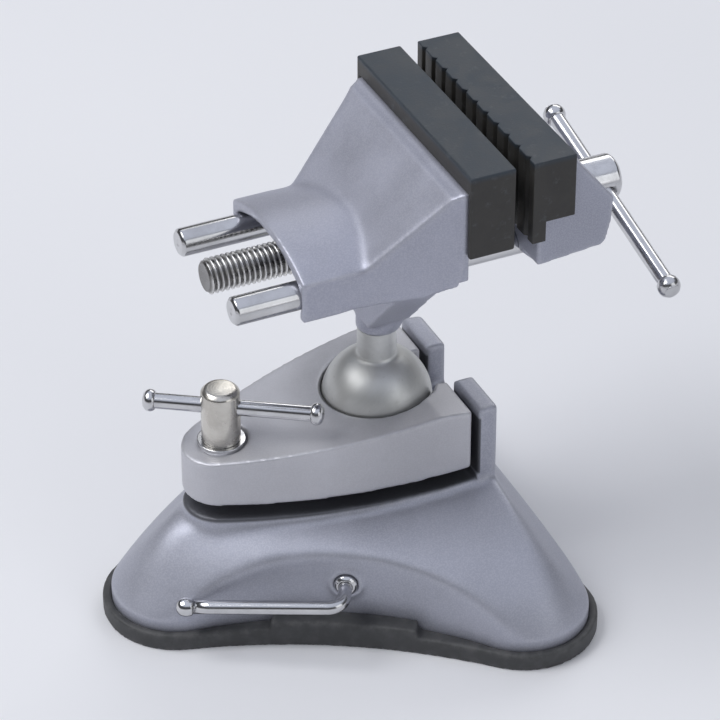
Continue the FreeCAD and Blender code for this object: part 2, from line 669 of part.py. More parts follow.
def build_fixed_jaw():
    half = size("pad_length") / 2 - size("pad_end") - size("pad_play")
    back = size("fixed_pad_face") - size("fixed_pad_thickness")
    blade_face = size("fixed_pad_face") - size("pad_wall") - size("pad_play")
    lip_drop, wing, floor = size("fixed_pad_lip_drop"), size("wing_depth"), size("hood_bottom")
    notch = size("wing_corner")
    bevel_end, bevel_drop = back - size("wedge_bevel"), lip_drop + size("wedge_bevel_drop")
    corners = [(back, lip_drop), (bevel_end, bevel_drop), (-size("wedge_toe"), size("slope_foot")),
               (-size("wedge_toe"), floor), (size("wing_knee"), size("wing_knee_depth")), (back - notch, wing),
               (back, wing - 4 * notch)]
    wedge = profile("jaw_wedge", [(ball.x + x, size("jaw_top") - depth) for x, depth in corners], -half, half)
    plan = prism("jaw_plan", jaw_plan(half, back), size("jaw_top") - size("web_depth") - 1, size("jaw_top"))
    blade = block("jaw_blade", head(back - 1, -half, size("pad_height") - 0.3), head(blade_face, half, lip_drop))
    lip_front = back + size("fixed_pad_lip") + size("pad_play")
    tongue = block("jaw_tongue", head(lip_front, -half, lip_drop + 1),
                   head(blade_face, half, size("pad_roof") + size("pad_play")))
    web_corners = [Vector(0, y, z) for y, z in (
        (-half + 1, size("jaw_top") - size("web_top_depth")), (half - 1, size("jaw_top") - size("web_top_depth")),
        (size("web_half_width"), size("jaw_top") - size("web_depth")),
        (-size("web_half_width"), size("jaw_top") - size("web_depth")))]
    web_face = Part.Face(Part.makePolygon(web_corners + web_corners[:1]))
    web_face.translate(ALONG_X * (ball.x - size("web_front")))
    web = feature("jaw_web", web_face.extrude(ALONG_X * (size("web_front") + size("web_back"))))
    stem = feature("jaw_stem", Part.makeLoft([
        stem_ring(size("hood_bottom") - 1, size("stem_top_radius"), size("stem_top_shift")),
        stem_ring(size("stem_waist_depth"), size("stem_waist_radius"), size("stem_waist_shift")),
        stem_ring(size("stem_end_depth"), size("stem_end_radius"), 0.3)], True, False))
    wings = common("jaw_wings", fuse("jaw_wedge_and_web", wedge, web), plan)
    hood, hollow = build_hood()
    body = fuse("fixed_jaw_body", wings, blade, tongue, hood, stem)
    half_spacing = size("rod_spacing") / 2
    bores = [cylinder("rod_bore_%d" % number, "rod_radius + rod_play", "2 * hood_front + guide_back",
                      head(-size("hood_front") - 5, y, size("rod_depth")), ALONG_X)
             for number, y in enumerate((-half_spacing, half_spacing))]
    screw_bore = cylinder("screw_bore", "screw_thread_radius + 0.5", "2 * hood_front + guide_back",
                          head(-size("hood_front") - 5, 0, size("rod_depth")), ALONG_X)
    nut_start = size("guide_back") - size("nut_length")
    nut_bore = cylinder("nut_bore", "nut_radius", "2 * nut_length", head(nut_start, 0, size("rod_depth")), ALONG_X)
    stud_bore = cylinder("stud_bore", "shank_radius + rod_play", "shank_length + 0.6",
                         head(0, 0, size("stem_end_depth") + 0.2))
    grub_bore = cylinder("grub_bore", "set_screw_radius", "pad_length / 2", grub_place(), ALONG_Y)
    return cut("fixed_jaw", body, hollow, *bores, screw_bore, nut_bore, stud_bore, grub_bore)


def jaw_plan(half, back):
    """Plan of the fixed jaw: it narrows in straight flanks from the pad to the hood."""
    narrow, start = size("hood_half_width"), size("flare_start")
    plan = [(back, -half), (-start, -narrow), (-start - 12, -narrow),
            (-start - 12, narrow), (-start, narrow), (back, half)]
    corners = [Vector(ball.x + x, y, 0) for x, y in plan]
    return Part.Wire(Part.makePolygon(corners + corners[:1]))


def stem_ring(depth, radius, shift):
    return Part.Wire(Part.makeCircle(radius, head(shift, 0, depth), UP))


def barrel(name, half_width, crown, shoulder, bottom, start, end):
    """A long block with an arched top, between two places along X."""
    rise = shoulder - crown
    arch = (half_width ** 2 + rise ** 2) / (2 * rise)
    slab = block(name + "_slab", head(start, -half_width, bottom), head(end, half_width, crown))
    roll = cylinder(name + "_roll", arch, end - start, head(start, 0, crown + arch), ALONG_X)
    return common(name, slab, roll)


def build_hood():
    wall = size("hood_wall")
    outer = barrel("hood_outer", size("hood_half_width"), size("hood_crown"), size("hood_shoulder"),
                   size("hood_bottom"), -size("hood_front"), size("guide_back"))
    inner = barrel("hood_inner", size("hood_half_width") - wall, size("hood_crown") + wall,
                   size("hood_shoulder") + wall, size("hood_bottom") + 5,
                   -size("hood_front") - 5, -size("hood_front") + size("hood_depth"))
    return outer, inner


def build_lead_nut():
    start = size("guide_back") - size("nut_length")
    blank = cylinder("nut_blank", "nut_radius", "nut_length", head(start, 0, size("rod_depth")), ALONG_X)
    bore = cylinder("nut_thread", "screw_thread_radius + screw_play", "3 * nut_length", head(start - 5, 0, size("rod_depth")),
                    ALONG_X)
    return cut("lead_nut", blank, bore)


def build_fixed_jaw_pad():
    half, end = size("pad_length") / 2, size("pad_length") / 2 - size("pad_end")
    face, thickness = size("fixed_pad_face"), size("fixed_pad_thickness")
    back, lip = face - thickness, face - thickness + size("fixed_pad_lip")
    wall_back = face - size("pad_wall")
    blank = block("fixed_pad_blank", head(back, -half, size("pad_height")), head(face, half, 0))
    pocket = block("fixed_pad_pocket", head(lip, -end, size("pad_height") + 1),
                   head(wall_back, end, size("pad_roof")))
    seat = block("fixed_pad_seat", head(back - 1, -end, size("pad_height") + 1),
                 head(lip + 1, end, size("fixed_pad_lip_drop")))
    return cut("fixed_jaw_pad", blank, pocket, seat)


# ---------------------------------------------------------------- sliding jaw, rods and lead screw

def build_moving_jaw():
    half = size("pad_length") / 2 - size("pad_end") - size("pad_play")
    face = size("fixed_pad_face") + size("jaw_gap")
    blade_front = face + size("pad_wall") + size("pad_play")
    flap_back = face + size("moving_pad_thickness")
    flap_front = flap_back - size("moving_pad_flap")
    play, heel = size("pad_play"), size("heel_depth")
    heel_x = flap_back + size("slope_run")
    corners = [
        (flap_back + play, size("slope_front")), (heel_x, size("slope_end")),
        (heel_x - 0.5, size("slope_end") + 7), (heel_x - 2, heel - 1.2), (heel_x - size("heel_corner"), heel),
        (size("block_front"), size("toe_depth")), (size("block_front"), size("pad_height") + 0.3),
        (blade_front, size("pad_height") + 0.3), (blade_front, size("pad_roof") + play),
        (flap_front - play, size("pad_roof") + play),
        (flap_front - play, size("moving_pad_flap_height") + play),
        (flap_back + play, size("moving_pad_flap_height") + play)]
    body = profile("slider_body", [(ball.x + x, size("jaw_top") - depth) for x, depth in corners], -half, half)
    front, back = size("block_front"), size("block_back")
    wide, slim, taper = size("block_half_width"), size("block_half_width_back"), size("block_taper_start")
    plan = [(front, -wide), (taper, -wide), (back, -slim), (back, slim), (taper, wide), (front, wide)]
    low, high = size("jaw_top") - size("block_bottom"), size("jaw_top") - size("block_top")
    base = [Vector(ball.x + x, y, low) for x, y in plan]
    column = feature("slider_column", Part.Face(Part.makePolygon(base + base[:1])).extrude(UP * (high - low)))
    chamfer, bottom = size("block_chamfer"), size("block_bottom")
    side_view = [(front, size("block_top")), (front, bottom - chamfer), (front + chamfer, bottom),
                 (back, bottom), (back, size("block_top"))]
    keel = profile("slider_keel", [(ball.x + x, size("jaw_top") - depth) for x, depth in side_view], -wide, wide)
    blank = fuse("moving_jaw_body", body, common("slider_block", column, keel))
    half_spacing = size("rod_spacing") / 2
    sockets = [cylinder("rod_socket_%d" % number, "rod_radius", "rod_back - block_front + 1",
                        head(front - 1, y, size("rod_depth")), ALONG_X)
               for number, y in enumerate((-half_spacing, half_spacing))]
    journal = cylinder("journal_bore", "screw_journal_radius + screw_play", "2 * block_front",
                       head(front - 5, 0, size("rod_depth")), ALONG_X)
    spot = cylinder("hub_spot_face", "hub_radius + 0.5", "hub_back", head(back, 0, size("rod_depth")), ALONG_X)
    grubs = [cylinder("rod_grub_bore_%d" % number, "set_screw_radius", 10,
                      head(size("rod_set_screw_place"), y, size("block_bottom") + 4))
             for number, y in enumerate((-half_spacing, half_spacing))]
    return cut("moving_jaw", blank, *sockets, journal, spot, *grubs)


def build_moving_jaw_pad():
    half, end = size("pad_length") / 2, size("pad_length") / 2 - size("pad_end")
    face = size("fixed_pad_face") + size("jaw_gap")
    back, flap = face + size("moving_pad_thickness"), size("moving_pad_flap_height")
    cap = block("moving_pad_cap", head(face, -half, flap), head(back, half, 0))
    wall = block("moving_pad_wall", head(face, -half, size("pad_height")), head(face + size("pad_wall"), half, 0))
    pocket = block("moving_pad_pocket", head(face + size("pad_wall"), -end, size("pad_height") + 1),
                   head(back - size("moving_pad_flap"), end, size("pad_roof")))
    pitch, depth = size("pad_groove_pitch"), size("pad_groove_depth")
    count = int(half / pitch)
    turn = FreeCAD.Rotation(UP, 45)
    edge = depth * math.sqrt(2)
    grooves = [box("pad_groove_%d" % (number + count), edge, edge, "pad_height + 2",
                   head(face, number * pitch - depth, size("pad_height") + 1), turn)
               for number in range(-count, count + 1)]
    return cut("moving_jaw_pad", fuse("moving_pad_blank", cap, wall), pocket, *grooves)


def build_guide_rod(name, y):
    chamfer = 0.8
    front = cone(name + "_tip", "rod_radius - 0.8", "rod_radius", chamfer,
                 head(-size("rod_front"), y, size("rod_depth")), ALONG_X)
    rod = cylinder(name + "_body", "rod_radius", size("rod_front") + size("rod_back") - chamfer,
                   head(-size("rod_front") + chamfer, y, size("rod_depth")), ALONG_X)
    return fuse(name, front, rod)


def build_rod_set_screws():
    length = size("block_bottom") - size("rod_depth") - size("rod_radius") - 0.1
    return group("rod_set_screws", *[
        cylinder("rod_set_screw_%d" % number, "set_screw_radius", length,
                 head(size("rod_set_screw_place"), y, size("block_bottom")))
        for number, y in enumerate((-size("rod_spacing") / 2, size("rod_spacing") / 2))])


def jaw_bar_way():
    dip = math.radians(size("jaw_bar_angle"))
    return Vector(0, -math.cos(dip), -math.sin(dip))


def build_lead_screw():
    depth, front, back = size("rod_depth"), size("block_front"), size("block_back")
    chamfer = 1.0
    tip = cone("screw_tip", "screw_thread_radius - 1", "screw_thread_radius", chamfer,
               head(-size("rod_front"), 0, depth), ALONG_X)
    thread = cylinder("screw_thread", "screw_thread_radius", size("rod_front") + front - chamfer,
                      head(-size("rod_front") + chamfer, 0, depth), ALONG_X)
    journal = cylinder("screw_journal", "screw_journal_radius", back + 0.1 - front, head(front, 0, depth), ALONG_X)
    hub = cylinder("screw_hub", "hub_radius", size("hub_back") - back - 0.1 - chamfer,
                   head(back + 0.1, 0, depth), ALONG_X)
    hub_end = cone("screw_hub_end", "hub_radius", "hub_radius - 1", chamfer,
                   head(size("hub_back") - chamfer, 0, depth), ALONG_X)
    way = jaw_bar_way()
    bar_hole = cylinder("jaw_bar_hole", "jaw_bar_radius + bar_play", "6 * hub_radius",
                        head(size("hub_bar_place"), 0, depth) - way * 3 * size("hub_radius"), way)
    pin_hole = collar_pin_cylinder("collar_pin_hole")
    return cut("lead_screw", fuse("lead_screw_blank", tip, thread, journal, hub, hub_end), bar_hole, pin_hole)


def collar_pin_cylinder(name):
    middle = size("block_front") - size("screw_play") - size("collar_thickness") / 2
    return cylinder(name, "collar_pin_radius", "2 * collar_radius",
                    head(middle, 0, size("rod_depth") + size("collar_radius")))


def build_screw_collar():
    start = size("block_front") - size("screw_play") - size("collar_thickness")
    blank = cylinder("collar_blank", "collar_radius", "collar_thickness", head(start, 0, size("rod_depth")),
                     ALONG_X)
    bore = cylinder("collar_bore", "screw_thread_radius", "10 + collar_thickness", head(start - 5, 0, size("rod_depth")), ALONG_X)
    return cut("screw_collar", blank, bore, collar_pin_cylinder("collar_cross_hole"))


def build_collar_pin():
    inside = cylinder("collar_pin_limit", "collar_radius - 0.2", 20,
                      head(size("block_front") - 10, 0, size("rod_depth")), ALONG_X)
    return common("collar_pin", collar_pin_cylinder("collar_pin_blank"), inside)


def build_jaw_bar():
    way = jaw_bar_way()
    middle = head(size("hub_bar_place"), 0, size("rod_depth")) + way * size("jaw_bar_shift")
    return capped_bar("jaw_bar", "jaw_bar_caps", "jaw_bar_radius", "jaw_bar_length",
                      "jaw_cap_radius", "jaw_cap_length", middle, way)


# ---------------------------------------------------------------- all pieces

half_rods = size("rod_spacing") / 2
pieces = [
    build_base_casting(), build_base_skirt(),
    build_suction_cup(), build_cup_plate(), build_lift_stud(),
    build_cam_shaft(), build_shaft_clip(), build_suction_lever(), build_lever_knob(),
    build_clamp_plate(), build_clamp_washer(), build_clamp_screw(), *build_clamp_bar(),
    build_ball_stud(), build_stud_grub_screw(),
    build_fixed_jaw(), build_lead_nut(), build_fixed_jaw_pad(),
    build_moving_jaw(), build_moving_jaw_pad(),
    build_guide_rod("near_guide_rod", -half_rods), build_guide_rod("far_guide_rod", half_rods),
    build_rod_set_screws(),
    build_lead_screw(), build_screw_collar(), build_collar_pin(), *build_jaw_bar(),
]
doc.recompute()

for obj in doc.Objects:
    if "Invalid" in obj.State or "Error" in obj.State:
        raise RuntimeError("%s did not recompute: %s" % (obj.Name, obj.State))
for piece in pieces:
    if piece.Shape.isNull() or not piece.Shape.isValid() or not piece.Shape.Solids:
        raise RuntimeError("%s has no valid solid" % piece.Label)

os.makedirs("parts", exist_ok=True)
for piece in pieces:
    piece.Shape.exportStep(os.path.join("parts", piece.Label + ".step"))
    print("%-18s solids %d  volume %.1f" % (piece.Label, len(piece.Shape.Solids), piece.Shape.Volume))
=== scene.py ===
import json
import math

import bmesh
import bpy
import numpy as np
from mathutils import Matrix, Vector

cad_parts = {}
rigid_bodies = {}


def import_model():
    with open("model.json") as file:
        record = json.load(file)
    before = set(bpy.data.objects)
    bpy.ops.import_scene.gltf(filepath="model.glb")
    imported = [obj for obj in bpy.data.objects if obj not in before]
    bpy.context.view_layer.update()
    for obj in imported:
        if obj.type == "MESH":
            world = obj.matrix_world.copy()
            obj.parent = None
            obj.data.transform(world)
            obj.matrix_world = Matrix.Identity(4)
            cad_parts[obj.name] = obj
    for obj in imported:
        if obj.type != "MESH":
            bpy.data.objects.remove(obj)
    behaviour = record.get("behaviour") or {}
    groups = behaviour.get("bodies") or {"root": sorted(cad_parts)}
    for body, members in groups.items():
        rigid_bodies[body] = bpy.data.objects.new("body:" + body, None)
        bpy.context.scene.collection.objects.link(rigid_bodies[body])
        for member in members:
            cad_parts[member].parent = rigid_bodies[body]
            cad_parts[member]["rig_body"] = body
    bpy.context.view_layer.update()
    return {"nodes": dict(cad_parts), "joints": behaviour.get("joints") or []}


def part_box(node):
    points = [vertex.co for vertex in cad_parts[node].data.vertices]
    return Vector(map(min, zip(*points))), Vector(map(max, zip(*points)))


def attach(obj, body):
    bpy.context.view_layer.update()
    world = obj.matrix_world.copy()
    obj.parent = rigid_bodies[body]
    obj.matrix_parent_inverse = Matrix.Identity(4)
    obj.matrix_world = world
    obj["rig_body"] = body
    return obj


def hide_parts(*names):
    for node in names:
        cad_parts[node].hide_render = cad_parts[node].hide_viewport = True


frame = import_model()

NODES = frame["nodes"]
JOINTS = {joint["name"]: joint for joint in frame["joints"]}
MM = 0.001
X, Z = Vector((1, 0, 0)), Vector((0, 0, 1))
scene = bpy.context.scene


# ---------------------------------------------------------------- places from the frame

# A small bench vise on a ball joint over a suction foot. Sizes and places are in millimetres, in the frame
# of the solids, and become metres where MM stands; floor, lamps and camera are given in metres.

def hinge_at(joint):
    """Where a hinge stands."""
    return Vector(JOINTS[joint]["pos_m"]) / MM


def way_of(joint):
    """Along the axis of a joint."""
    return Vector(JOINTS[joint]["axis"]).normalized()


def box_of(node):
    """Lowest and highest corner of a node."""
    return [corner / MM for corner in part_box(node)]


BALL_AT = hinge_at("head_tilt")
BALL_RADIUS = BALL_AT.z - box_of("ball_stud")[0].z
HEAD_LOW = hinge_at("clamp_turn").z            # underside of the clamp screw's head
CLAMP_AT = hinge_at("clamp_turn") - Z * HEAD_LOW
AXIS_Z = hinge_at("screw_turn").z              # height of the rods and the lead screw
RODS_START = box_of("near_guide_rod")[0].x     # free ends of the rods and the lead screw
SHAFT_OUT = -way_of("lever_turn")              # out of the foot
SHAFT_Z = hinge_at("lever_turn").z
PAD_TOP = box_of("fixed_jaw_pad")[1].z
EAR_FRONT = 24.65                              # front faces of the ears


# ---------------------------------------------------------------- meshes

BEND_REACH = 1.2 * MM                # size of the details that count as bends
BEND_GAIN = 6                        # from a bend to its colour in the layer of edges
HOLLOW_GAIN, HOLLOW_START = 14, 0.15 # from a hollow to how much more it is filled
WEIGHT_STEPS = 20                    # levels of a vertex's weight
WELD_REACH = 0.002 * MM
FLAT_ANGLE = math.radians(1)
BEVEL_SEGMENTS, BEVEL_ANGLE = 3, math.radians(25)
FILLET_SHARE = 0.45                  # the most that a fillet takes of the side beside it
FILLET_STEPS = 4
SEGMENTS, FINE_SEGMENTS, CAP_SEGMENTS = 96, 128, 48      # of turned pieces


def new_object(name, mesh):
    piece = bpy.data.objects.new(name, mesh)
    scene.collection.objects.link(piece)
    return piece


def baked(piece):
    """Replaces an object's mesh by the one its modifiers give."""
    bpy.context.view_layer.update()
    depsgraph = bpy.context.evaluated_depsgraph_get()
    mesh = bpy.data.meshes.new_from_object(piece.evaluated_get(depsgraph))
    piece.modifiers.clear()
    piece.data = mesh


def stands_for(piece, material, node):
    """Gives a piece its material and lets it take the place of a node, on its body."""
    piece.data.materials.clear()
    piece.data.materials.append(material)
    piece.data.shade_smooth()
    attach(piece, NODES[node]["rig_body"])
    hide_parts(node)


def vertex_places(mesh):
    """Places of a mesh's vertices in metres, one row for each."""
    places = np.empty(len(mesh.vertices) * 3)
    mesh.vertices.foreach_get("co", places)
    return places.reshape(-1, 3)


def bends(mesh, rounds):
    """How convex (above 0) or hollow (below 0) a mesh is at each vertex, averaged over some rounds.

    Dividing by the mean edge makes the values alike for a fine and a coarse mesh."""
    places = vertex_places(mesh)
    count = len(places)
    normals = np.array([v.normal[:] for v in mesh.vertices])
    pairs = np.empty(len(mesh.edges) * 2, dtype=int)
    mesh.edges.foreach_get("vertices", pairs)
    a, b = pairs.reshape(-1, 2).T
    valence = np.maximum(np.bincount(a, minlength=count) + np.bincount(b, minlength=count), 1)

    def around(values):
        """The mean of each vertex's neighbours."""
        if values.ndim == 1:
            return (np.bincount(a, values[b], count) + np.bincount(b, values[a], count)) / valence
        return np.stack([around(values[:, k]) for k in range(values.shape[1])], axis=1)

    step = np.linalg.norm(places[a] - places[b], axis=1).mean()
    bend = ((places - around(places)) * normals).sum(axis=1) / step
    for _ in range(rounds):
        bend = 0.5 * bend + 0.5 * around(bend)
    return bend * BEND_REACH / step


def mark_edges(piece):
    """Stores how convex (red) and how hollow (green) the surface is at each point."""
    bend = bends(piece.data, 3)
    colours = np.zeros((len(bend), 4), dtype=np.float32)
    colours[:, 0] = np.clip(bend * BEND_GAIN, 0, 1)
    colours[:, 1] = np.clip(-bend * BEND_GAIN, 0, 1)
    colours[:, 3] = 1
    layer = piece.data.color_attributes.new("edges", "FLOAT_COLOR", "POINT")
    layer.data.foreach_set("color", colours.ravel())


def smoothed(piece, rounds, weights=None):
    """Relaxes a mesh for some rounds, everywhere or by a weight for each vertex."""
    smooth = piece.modifiers.new("soft", "SMOOTH")
    smooth.factor, smooth.iterations = 0.5, rounds
    if weights is not None:
        group = piece.vertex_groups.new(name="soft")
        steps = np.rint(weights * WEIGHT_STEPS).astype(int)
        for step in range(1, WEIGHT_STEPS + 1):
            group.add(np.nonzero(steps == step)[0].tolist(), step / WEIGHT_STEPS, "REPLACE")
        smooth.vertex_group = group.name
    baked(piece)
    piece.vertex_groups.clear()


def softened(node, name, material, voxel, rounds, corners=0, region=None):
    """A copy of a node with its edges rounded, as a mould or a tumbling drum leaves them.

    voxel: size in millimetres of the cells that it is made from again; rounds: how often it is relaxed then.
    corners: further rounds in the inner corners, which a casting fills most.
    region: (rounds, function of the places in millimetres) for one area that is softer still."""
    piece = new_object(name, NODES[node].data.copy())
    remesh = piece.modifiers.new("voxels", "REMESH")
    remesh.mode, remesh.voxel_size, remesh.adaptivity = "VOXEL", voxel * MM, 0
    smoothed(piece, rounds)
    if corners:
        smoothed(piece, corners, np.clip(-bends(piece.data, 6) * HOLLOW_GAIN - HOLLOW_START, 0, 1))
    if region:
        more_rounds, area = region
        smoothed(piece, more_rounds, area(vertex_places(piece.data) / MM))
    mark_edges(piece)
    stands_for(piece, material, node)


def bevelled(node, name, material, width):
    """A copy of a flat-faced node with every edge broken by a small radius, its width in millimetres."""
    mesh = NODES[node].data.copy()
    work = bmesh.new()
    work.from_mesh(mesh)
    bmesh.ops.remove_doubles(work, verts=work.verts, dist=WELD_REACH)
    bmesh.ops.dissolve_limit(work, angle_limit=FLAT_ANGLE, verts=work.verts, edges=work.edges)
    work.to_mesh(mesh)
    work.free()
    piece = new_object(name, mesh)
    bevel = piece.modifiers.new("edges", "BEVEL")
    bevel.width, bevel.segments = width * MM, BEVEL_SEGMENTS
    bevel.limit_method, bevel.angle_limit = "ANGLE", BEVEL_ANGLE
    piece.modifiers.new("tris", "TRIANGULATE")
    baked(piece)
    stands_for(flat_ends(piece), material, node)


def filleted(corners, radius):
    """A profile of (place, radius) corners, rounded between its ends by a radius or by a third value."""
    points = [Vector(corners[0][:2])]
    for before, corner, after in zip(corners, corners[1:], corners[2:]):
        reach = corner[2] if len(corner) > 2 else radius
        here = Vector(corner[:2])
        to_before, to_after = Vector(before[:2]) - here, Vector(after[:2]) - here
        trim = min(reach, FILLET_SHARE * to_before.length, FILLET_SHARE * to_after.length)
        start, end = here + to_before.normalized() * trim, here + to_after.normalized() * trim
        for k in range(FILLET_STEPS + 1):
            t = k / FILLET_STEPS
            points.append(start * (1 - t) ** 2 + here * 2 * t * (1 - t) + end * t ** 2)
    points.append(Vector(corners[-1][:2]))
    return points


def turning(axis):
    """A rotation that takes Z to an axis."""
    return Z.rotation_difference(Vector(axis).normalized()).to_matrix()


def skin(work, rings):
    """Faces between one ring of vertices and the next; a ring can also be a single point."""
    for low, high in zip(rings, rings[1:]):
        count = max(len(low), len(high))
        for k in range(count):
            n = (k + 1) % count
            if len(low) > 1 and len(high) > 1:
                work.faces.new((low[k], low[n], high[n], high[k]))
            elif len(high) > 1:
                work.faces.new((low[0], high[n], high[k]))
            elif len(low) > 1:
                work.faces.new((low[k], low[n], high[0]))


def add_turned(work, points, origin, axis, segments=SEGMENTS):
    """Adds a turned solid; points are (place along the axis, radius) in millimetres, from end to end."""
    spin, rings = turning(axis), []
    for place, radius in points:
        ring = []
        for k in range(segments if radius > 0 else 1):
            turn = 2 * math.pi * k / segments
            corner = Vector((radius * math.cos(turn), radius * math.sin(turn), place))
            ring.append(work.verts.new((Vector(origin) + spin @ corner) * MM))
        rings.append(ring)
    skin(work, rings)


def from_bmesh(name, work):
    """Ends a bmesh and gives an object of it."""
    bmesh.ops.recalc_face_normals(work, faces=work.faces)
    mesh = bpy.data.meshes.new(name)
    work.to_mesh(mesh)
    work.free()
    return new_object(name, mesh)


def turned(name, corners, origin, axis, radius, segments=SEGMENTS):
    """A turned object, from corners as in filleted."""
    work = bmesh.new()
    add_turned(work, filleted(corners, radius), origin, axis, segments)
    return from_bmesh(name, work)


def bored(piece, radius, middle, axis, length):
    """Drills a hole through a piece."""
    drill = turned("drill", [(-length / 2, 0), (-length / 2, radius), (length / 2, radius), (length / 2, 0)],
                   middle, axis, 0.01)
    boolean = piece.modifiers.new("bore", "BOOLEAN")
    boolean.operation, boolean.object, boolean.solver = "DIFFERENCE", drill, "EXACT"
    baked(piece)
    bpy.data.objects.remove(drill)


def joined(name, pieces):
    """One object from several, whose meshes stay as they are."""
    work = bmesh.new()
    for piece in pieces:
        work.from_mesh(piece.data)
        bpy.data.objects.remove(piece)
    return from_bmesh(name, work)


def flat_ends(piece):
    """Keeps flat faces flat when they are shaded smooth."""
    piece.modifiers.new("flats", "WEIGHTED_NORMAL").keep_sharp = True
    return piece


# ---------------------------------------------------------------- materials

class Paint:
    """A material built node by node; coordinates are those of the object, in metres."""

    def __init__(self, name, **values):
        self.material = bpy.data.materials.new(name)
        self.material.use_nodes = True
        self.nodes, self.links = self.material.node_tree.nodes, self.material.node_tree.links
        self.shader = self.nodes["Principled BSDF"]
        self.place = self.nodes.new("ShaderNodeTexCoord").outputs["Object"]
        self.normal = None
        for socket, value in values.items():
            self.shader.inputs[socket.replace("_", " ")].default_value = value

    def feed(self, socket, value):
        """Links a socket to another one, or sets its value."""
        if isinstance(value, bpy.types.NodeSocket):
            self.links.new(value, socket)
        else:
            socket.default_value = value

    def node(self, kind, settings=(), **inputs):
        """A node whose inputs are given by name, or by number as _0, _1 and so on."""
        node = self.nodes.new("ShaderNode" + kind)
        for name, value in dict(settings).items():
            setattr(node, name, value)
        for name, value in inputs.items():
            key = int(name[1:]) if name[0] == "_" else name.replace("_", " ")
            self.feed(node.inputs[key], value)
        return node

    def moved(self, offset=(0, 0, 0), scale=(1, 1, 1), turn=(0, 0, 0)):
        return self.node("Mapping", Vector=self.place, Location=offset, Scale=scale, Rotation=turn).outputs[0]

    def noise(self, scale, detail=3, rough=0.55, at=None, distortion=0.0):
        return self.node("TexNoise", Vector=at or self.place, Scale=scale, Detail=detail, Roughness=rough,
                         Distortion=distortion).outputs["Fac"]

    def ramp(self, value, low, high, start=0.0, end=1.0):
        """Maps low..high of a value smoothly to start..end, and holds it there outside."""
        return self.node("MapRange", {"interpolation_type": "SMOOTHSTEP"}, Value=value, From_Min=low,
                         From_Max=high, To_Min=start, To_Max=end).outputs["Result"]

    def math(self, operation, a, b):
        return self.node("Math", {"operation": operation}, _0=a, _1=b).outputs[0]

    def product(self, first, *others):
        for other in others:
            first = self.math("MULTIPLY", first, other)
        return first

    def length(self, vector):
        return self.node("VectorMath", {"operation": "LENGTH"}, _0=vector).outputs["Value"]

    def mix(self, factor, a, b):
        """Mixes two colours, each a socket or three numbers."""
        node = self.nodes.new("ShaderNodeMix")
        node.data_type = "RGBA"
        self.feed(node.inputs[0], factor)
        for socket, colour in ((node.inputs[6], a), (node.inputs[7], b)):
            self.feed(socket, colour if isinstance(colour, bpy.types.NodeSocket) else (*colour, 1))
        return node.outputs[2]

    def edges(self):
        """How convex and how hollow the surface is, as mark_edges stored it."""
        layer = self.node("Attribute", {"attribute_name": "edges"}).outputs["Color"]
        parts = self.node("SeparateColor", Color=layer)
        return parts.outputs[0], parts.outputs[1]

    def bump(self, height, strength, distance):
        """Adds a relief to those before it; its distance is in millimetres."""
        inputs = {"Strength": strength, "Distance": distance * MM, "Height": height}
        if self.normal:
            inputs["Normal"] = self.normal
        self.normal = self.node("Bump", **inputs).outputs["Normal"]

    def done(self, colour, roughness=None):
        """Plugs everything into the shader and gives the material."""
        self.links.new(colour, self.shader.inputs["Base Color"])
        if roughness:
            self.links.new(roughness, self.shader.inputs["Roughness"])
        if self.normal:
            self.links.new(self.normal, self.shader.inputs["Normal"])
        return self.material


DECK_SLOPE, DECK_FOOT = 0.0432, 33.36 * MM     # the sloping edge of the deck, as a line in X
DECK_TOP = 37.4 * MM
EAR_SHADE_TOP = 55.6 * MM
# Strengths of painted shade: in the gap under the clamp plate, in the gap round the ball, and fainter round
# the ball.
DECK_SHADE, SEAT_SHADE, RING_SHADE = 0.82, 0.92, 0.27
# Reach from the ball's centre of the painted shade in its gap, and of the fainter painted shade round it.
SEAT_REACH = (BALL_RADIUS + 0.7) * MM          # from the centre of the ball
RING_SHADE_REACH = 31 * MM


def shade_under_plate(paint):
    """Painted shade: dark on the deck in the gap under the clamp plate and on the ears' front faces beside
    it, 0 elsewhere.
    """
    along, _, height = paint.node("SeparateXYZ", Vector=paint.place).outputs
    deck_edge = paint.math("ADD", paint.math("MULTIPLY", along, DECK_SLOPE), DECK_FOOT)
    ear_front = EAR_FRONT * MM
    deck = paint.product(paint.ramp(paint.math("SUBTRACT", height, deck_edge), 0.0, 0.9 * MM),
                      paint.ramp(height, DECK_TOP - 0.8 * MM, DECK_TOP, 1.0, 0.0),
                      paint.ramp(along, ear_front - 0.4 * MM, ear_front, 1.0, 0.0))
    ears = paint.product(paint.ramp(along, ear_front + 0.4 * MM, ear_front + 0.8 * MM, 1.0, 0.0),
                      paint.ramp(height, DECK_TOP - 1.2 * MM, DECK_TOP - 0.2 * MM),
                      paint.ramp(height, EAR_SHADE_TOP - 1.1 * MM, EAR_SHADE_TOP, 1.0, 0.0))
    return paint.product(DECK_SHADE, paint.math("MAXIMUM", deck, ears))


def shade_round_ball(paint):
    """Painted shade on the plate: dark in the gap round the ball up to its edge, and a fainter, cloudy
    painted shade that fades out round it.
    """
    reach = paint.length(paint.moved(offset=BALL_AT * -MM))
    # Painted shade in the gap round the ball.
    seat = paint.ramp(reach, SEAT_REACH, SEAT_REACH + 0.7 * MM, SEAT_SHADE, 0.0)
    # Fainter painted shade that fades out away from the ball, made cloudy by noise.
    film = paint.product(paint.ramp(reach, SEAT_REACH + 0.5 * MM, RING_SHADE_REACH, RING_SHADE, 0.0),
                      paint.ramp(paint.noise(70, 4), 0.3, 0.7, 0.6, 1.0))
    return paint.math("MAXIMUM", seat, film)


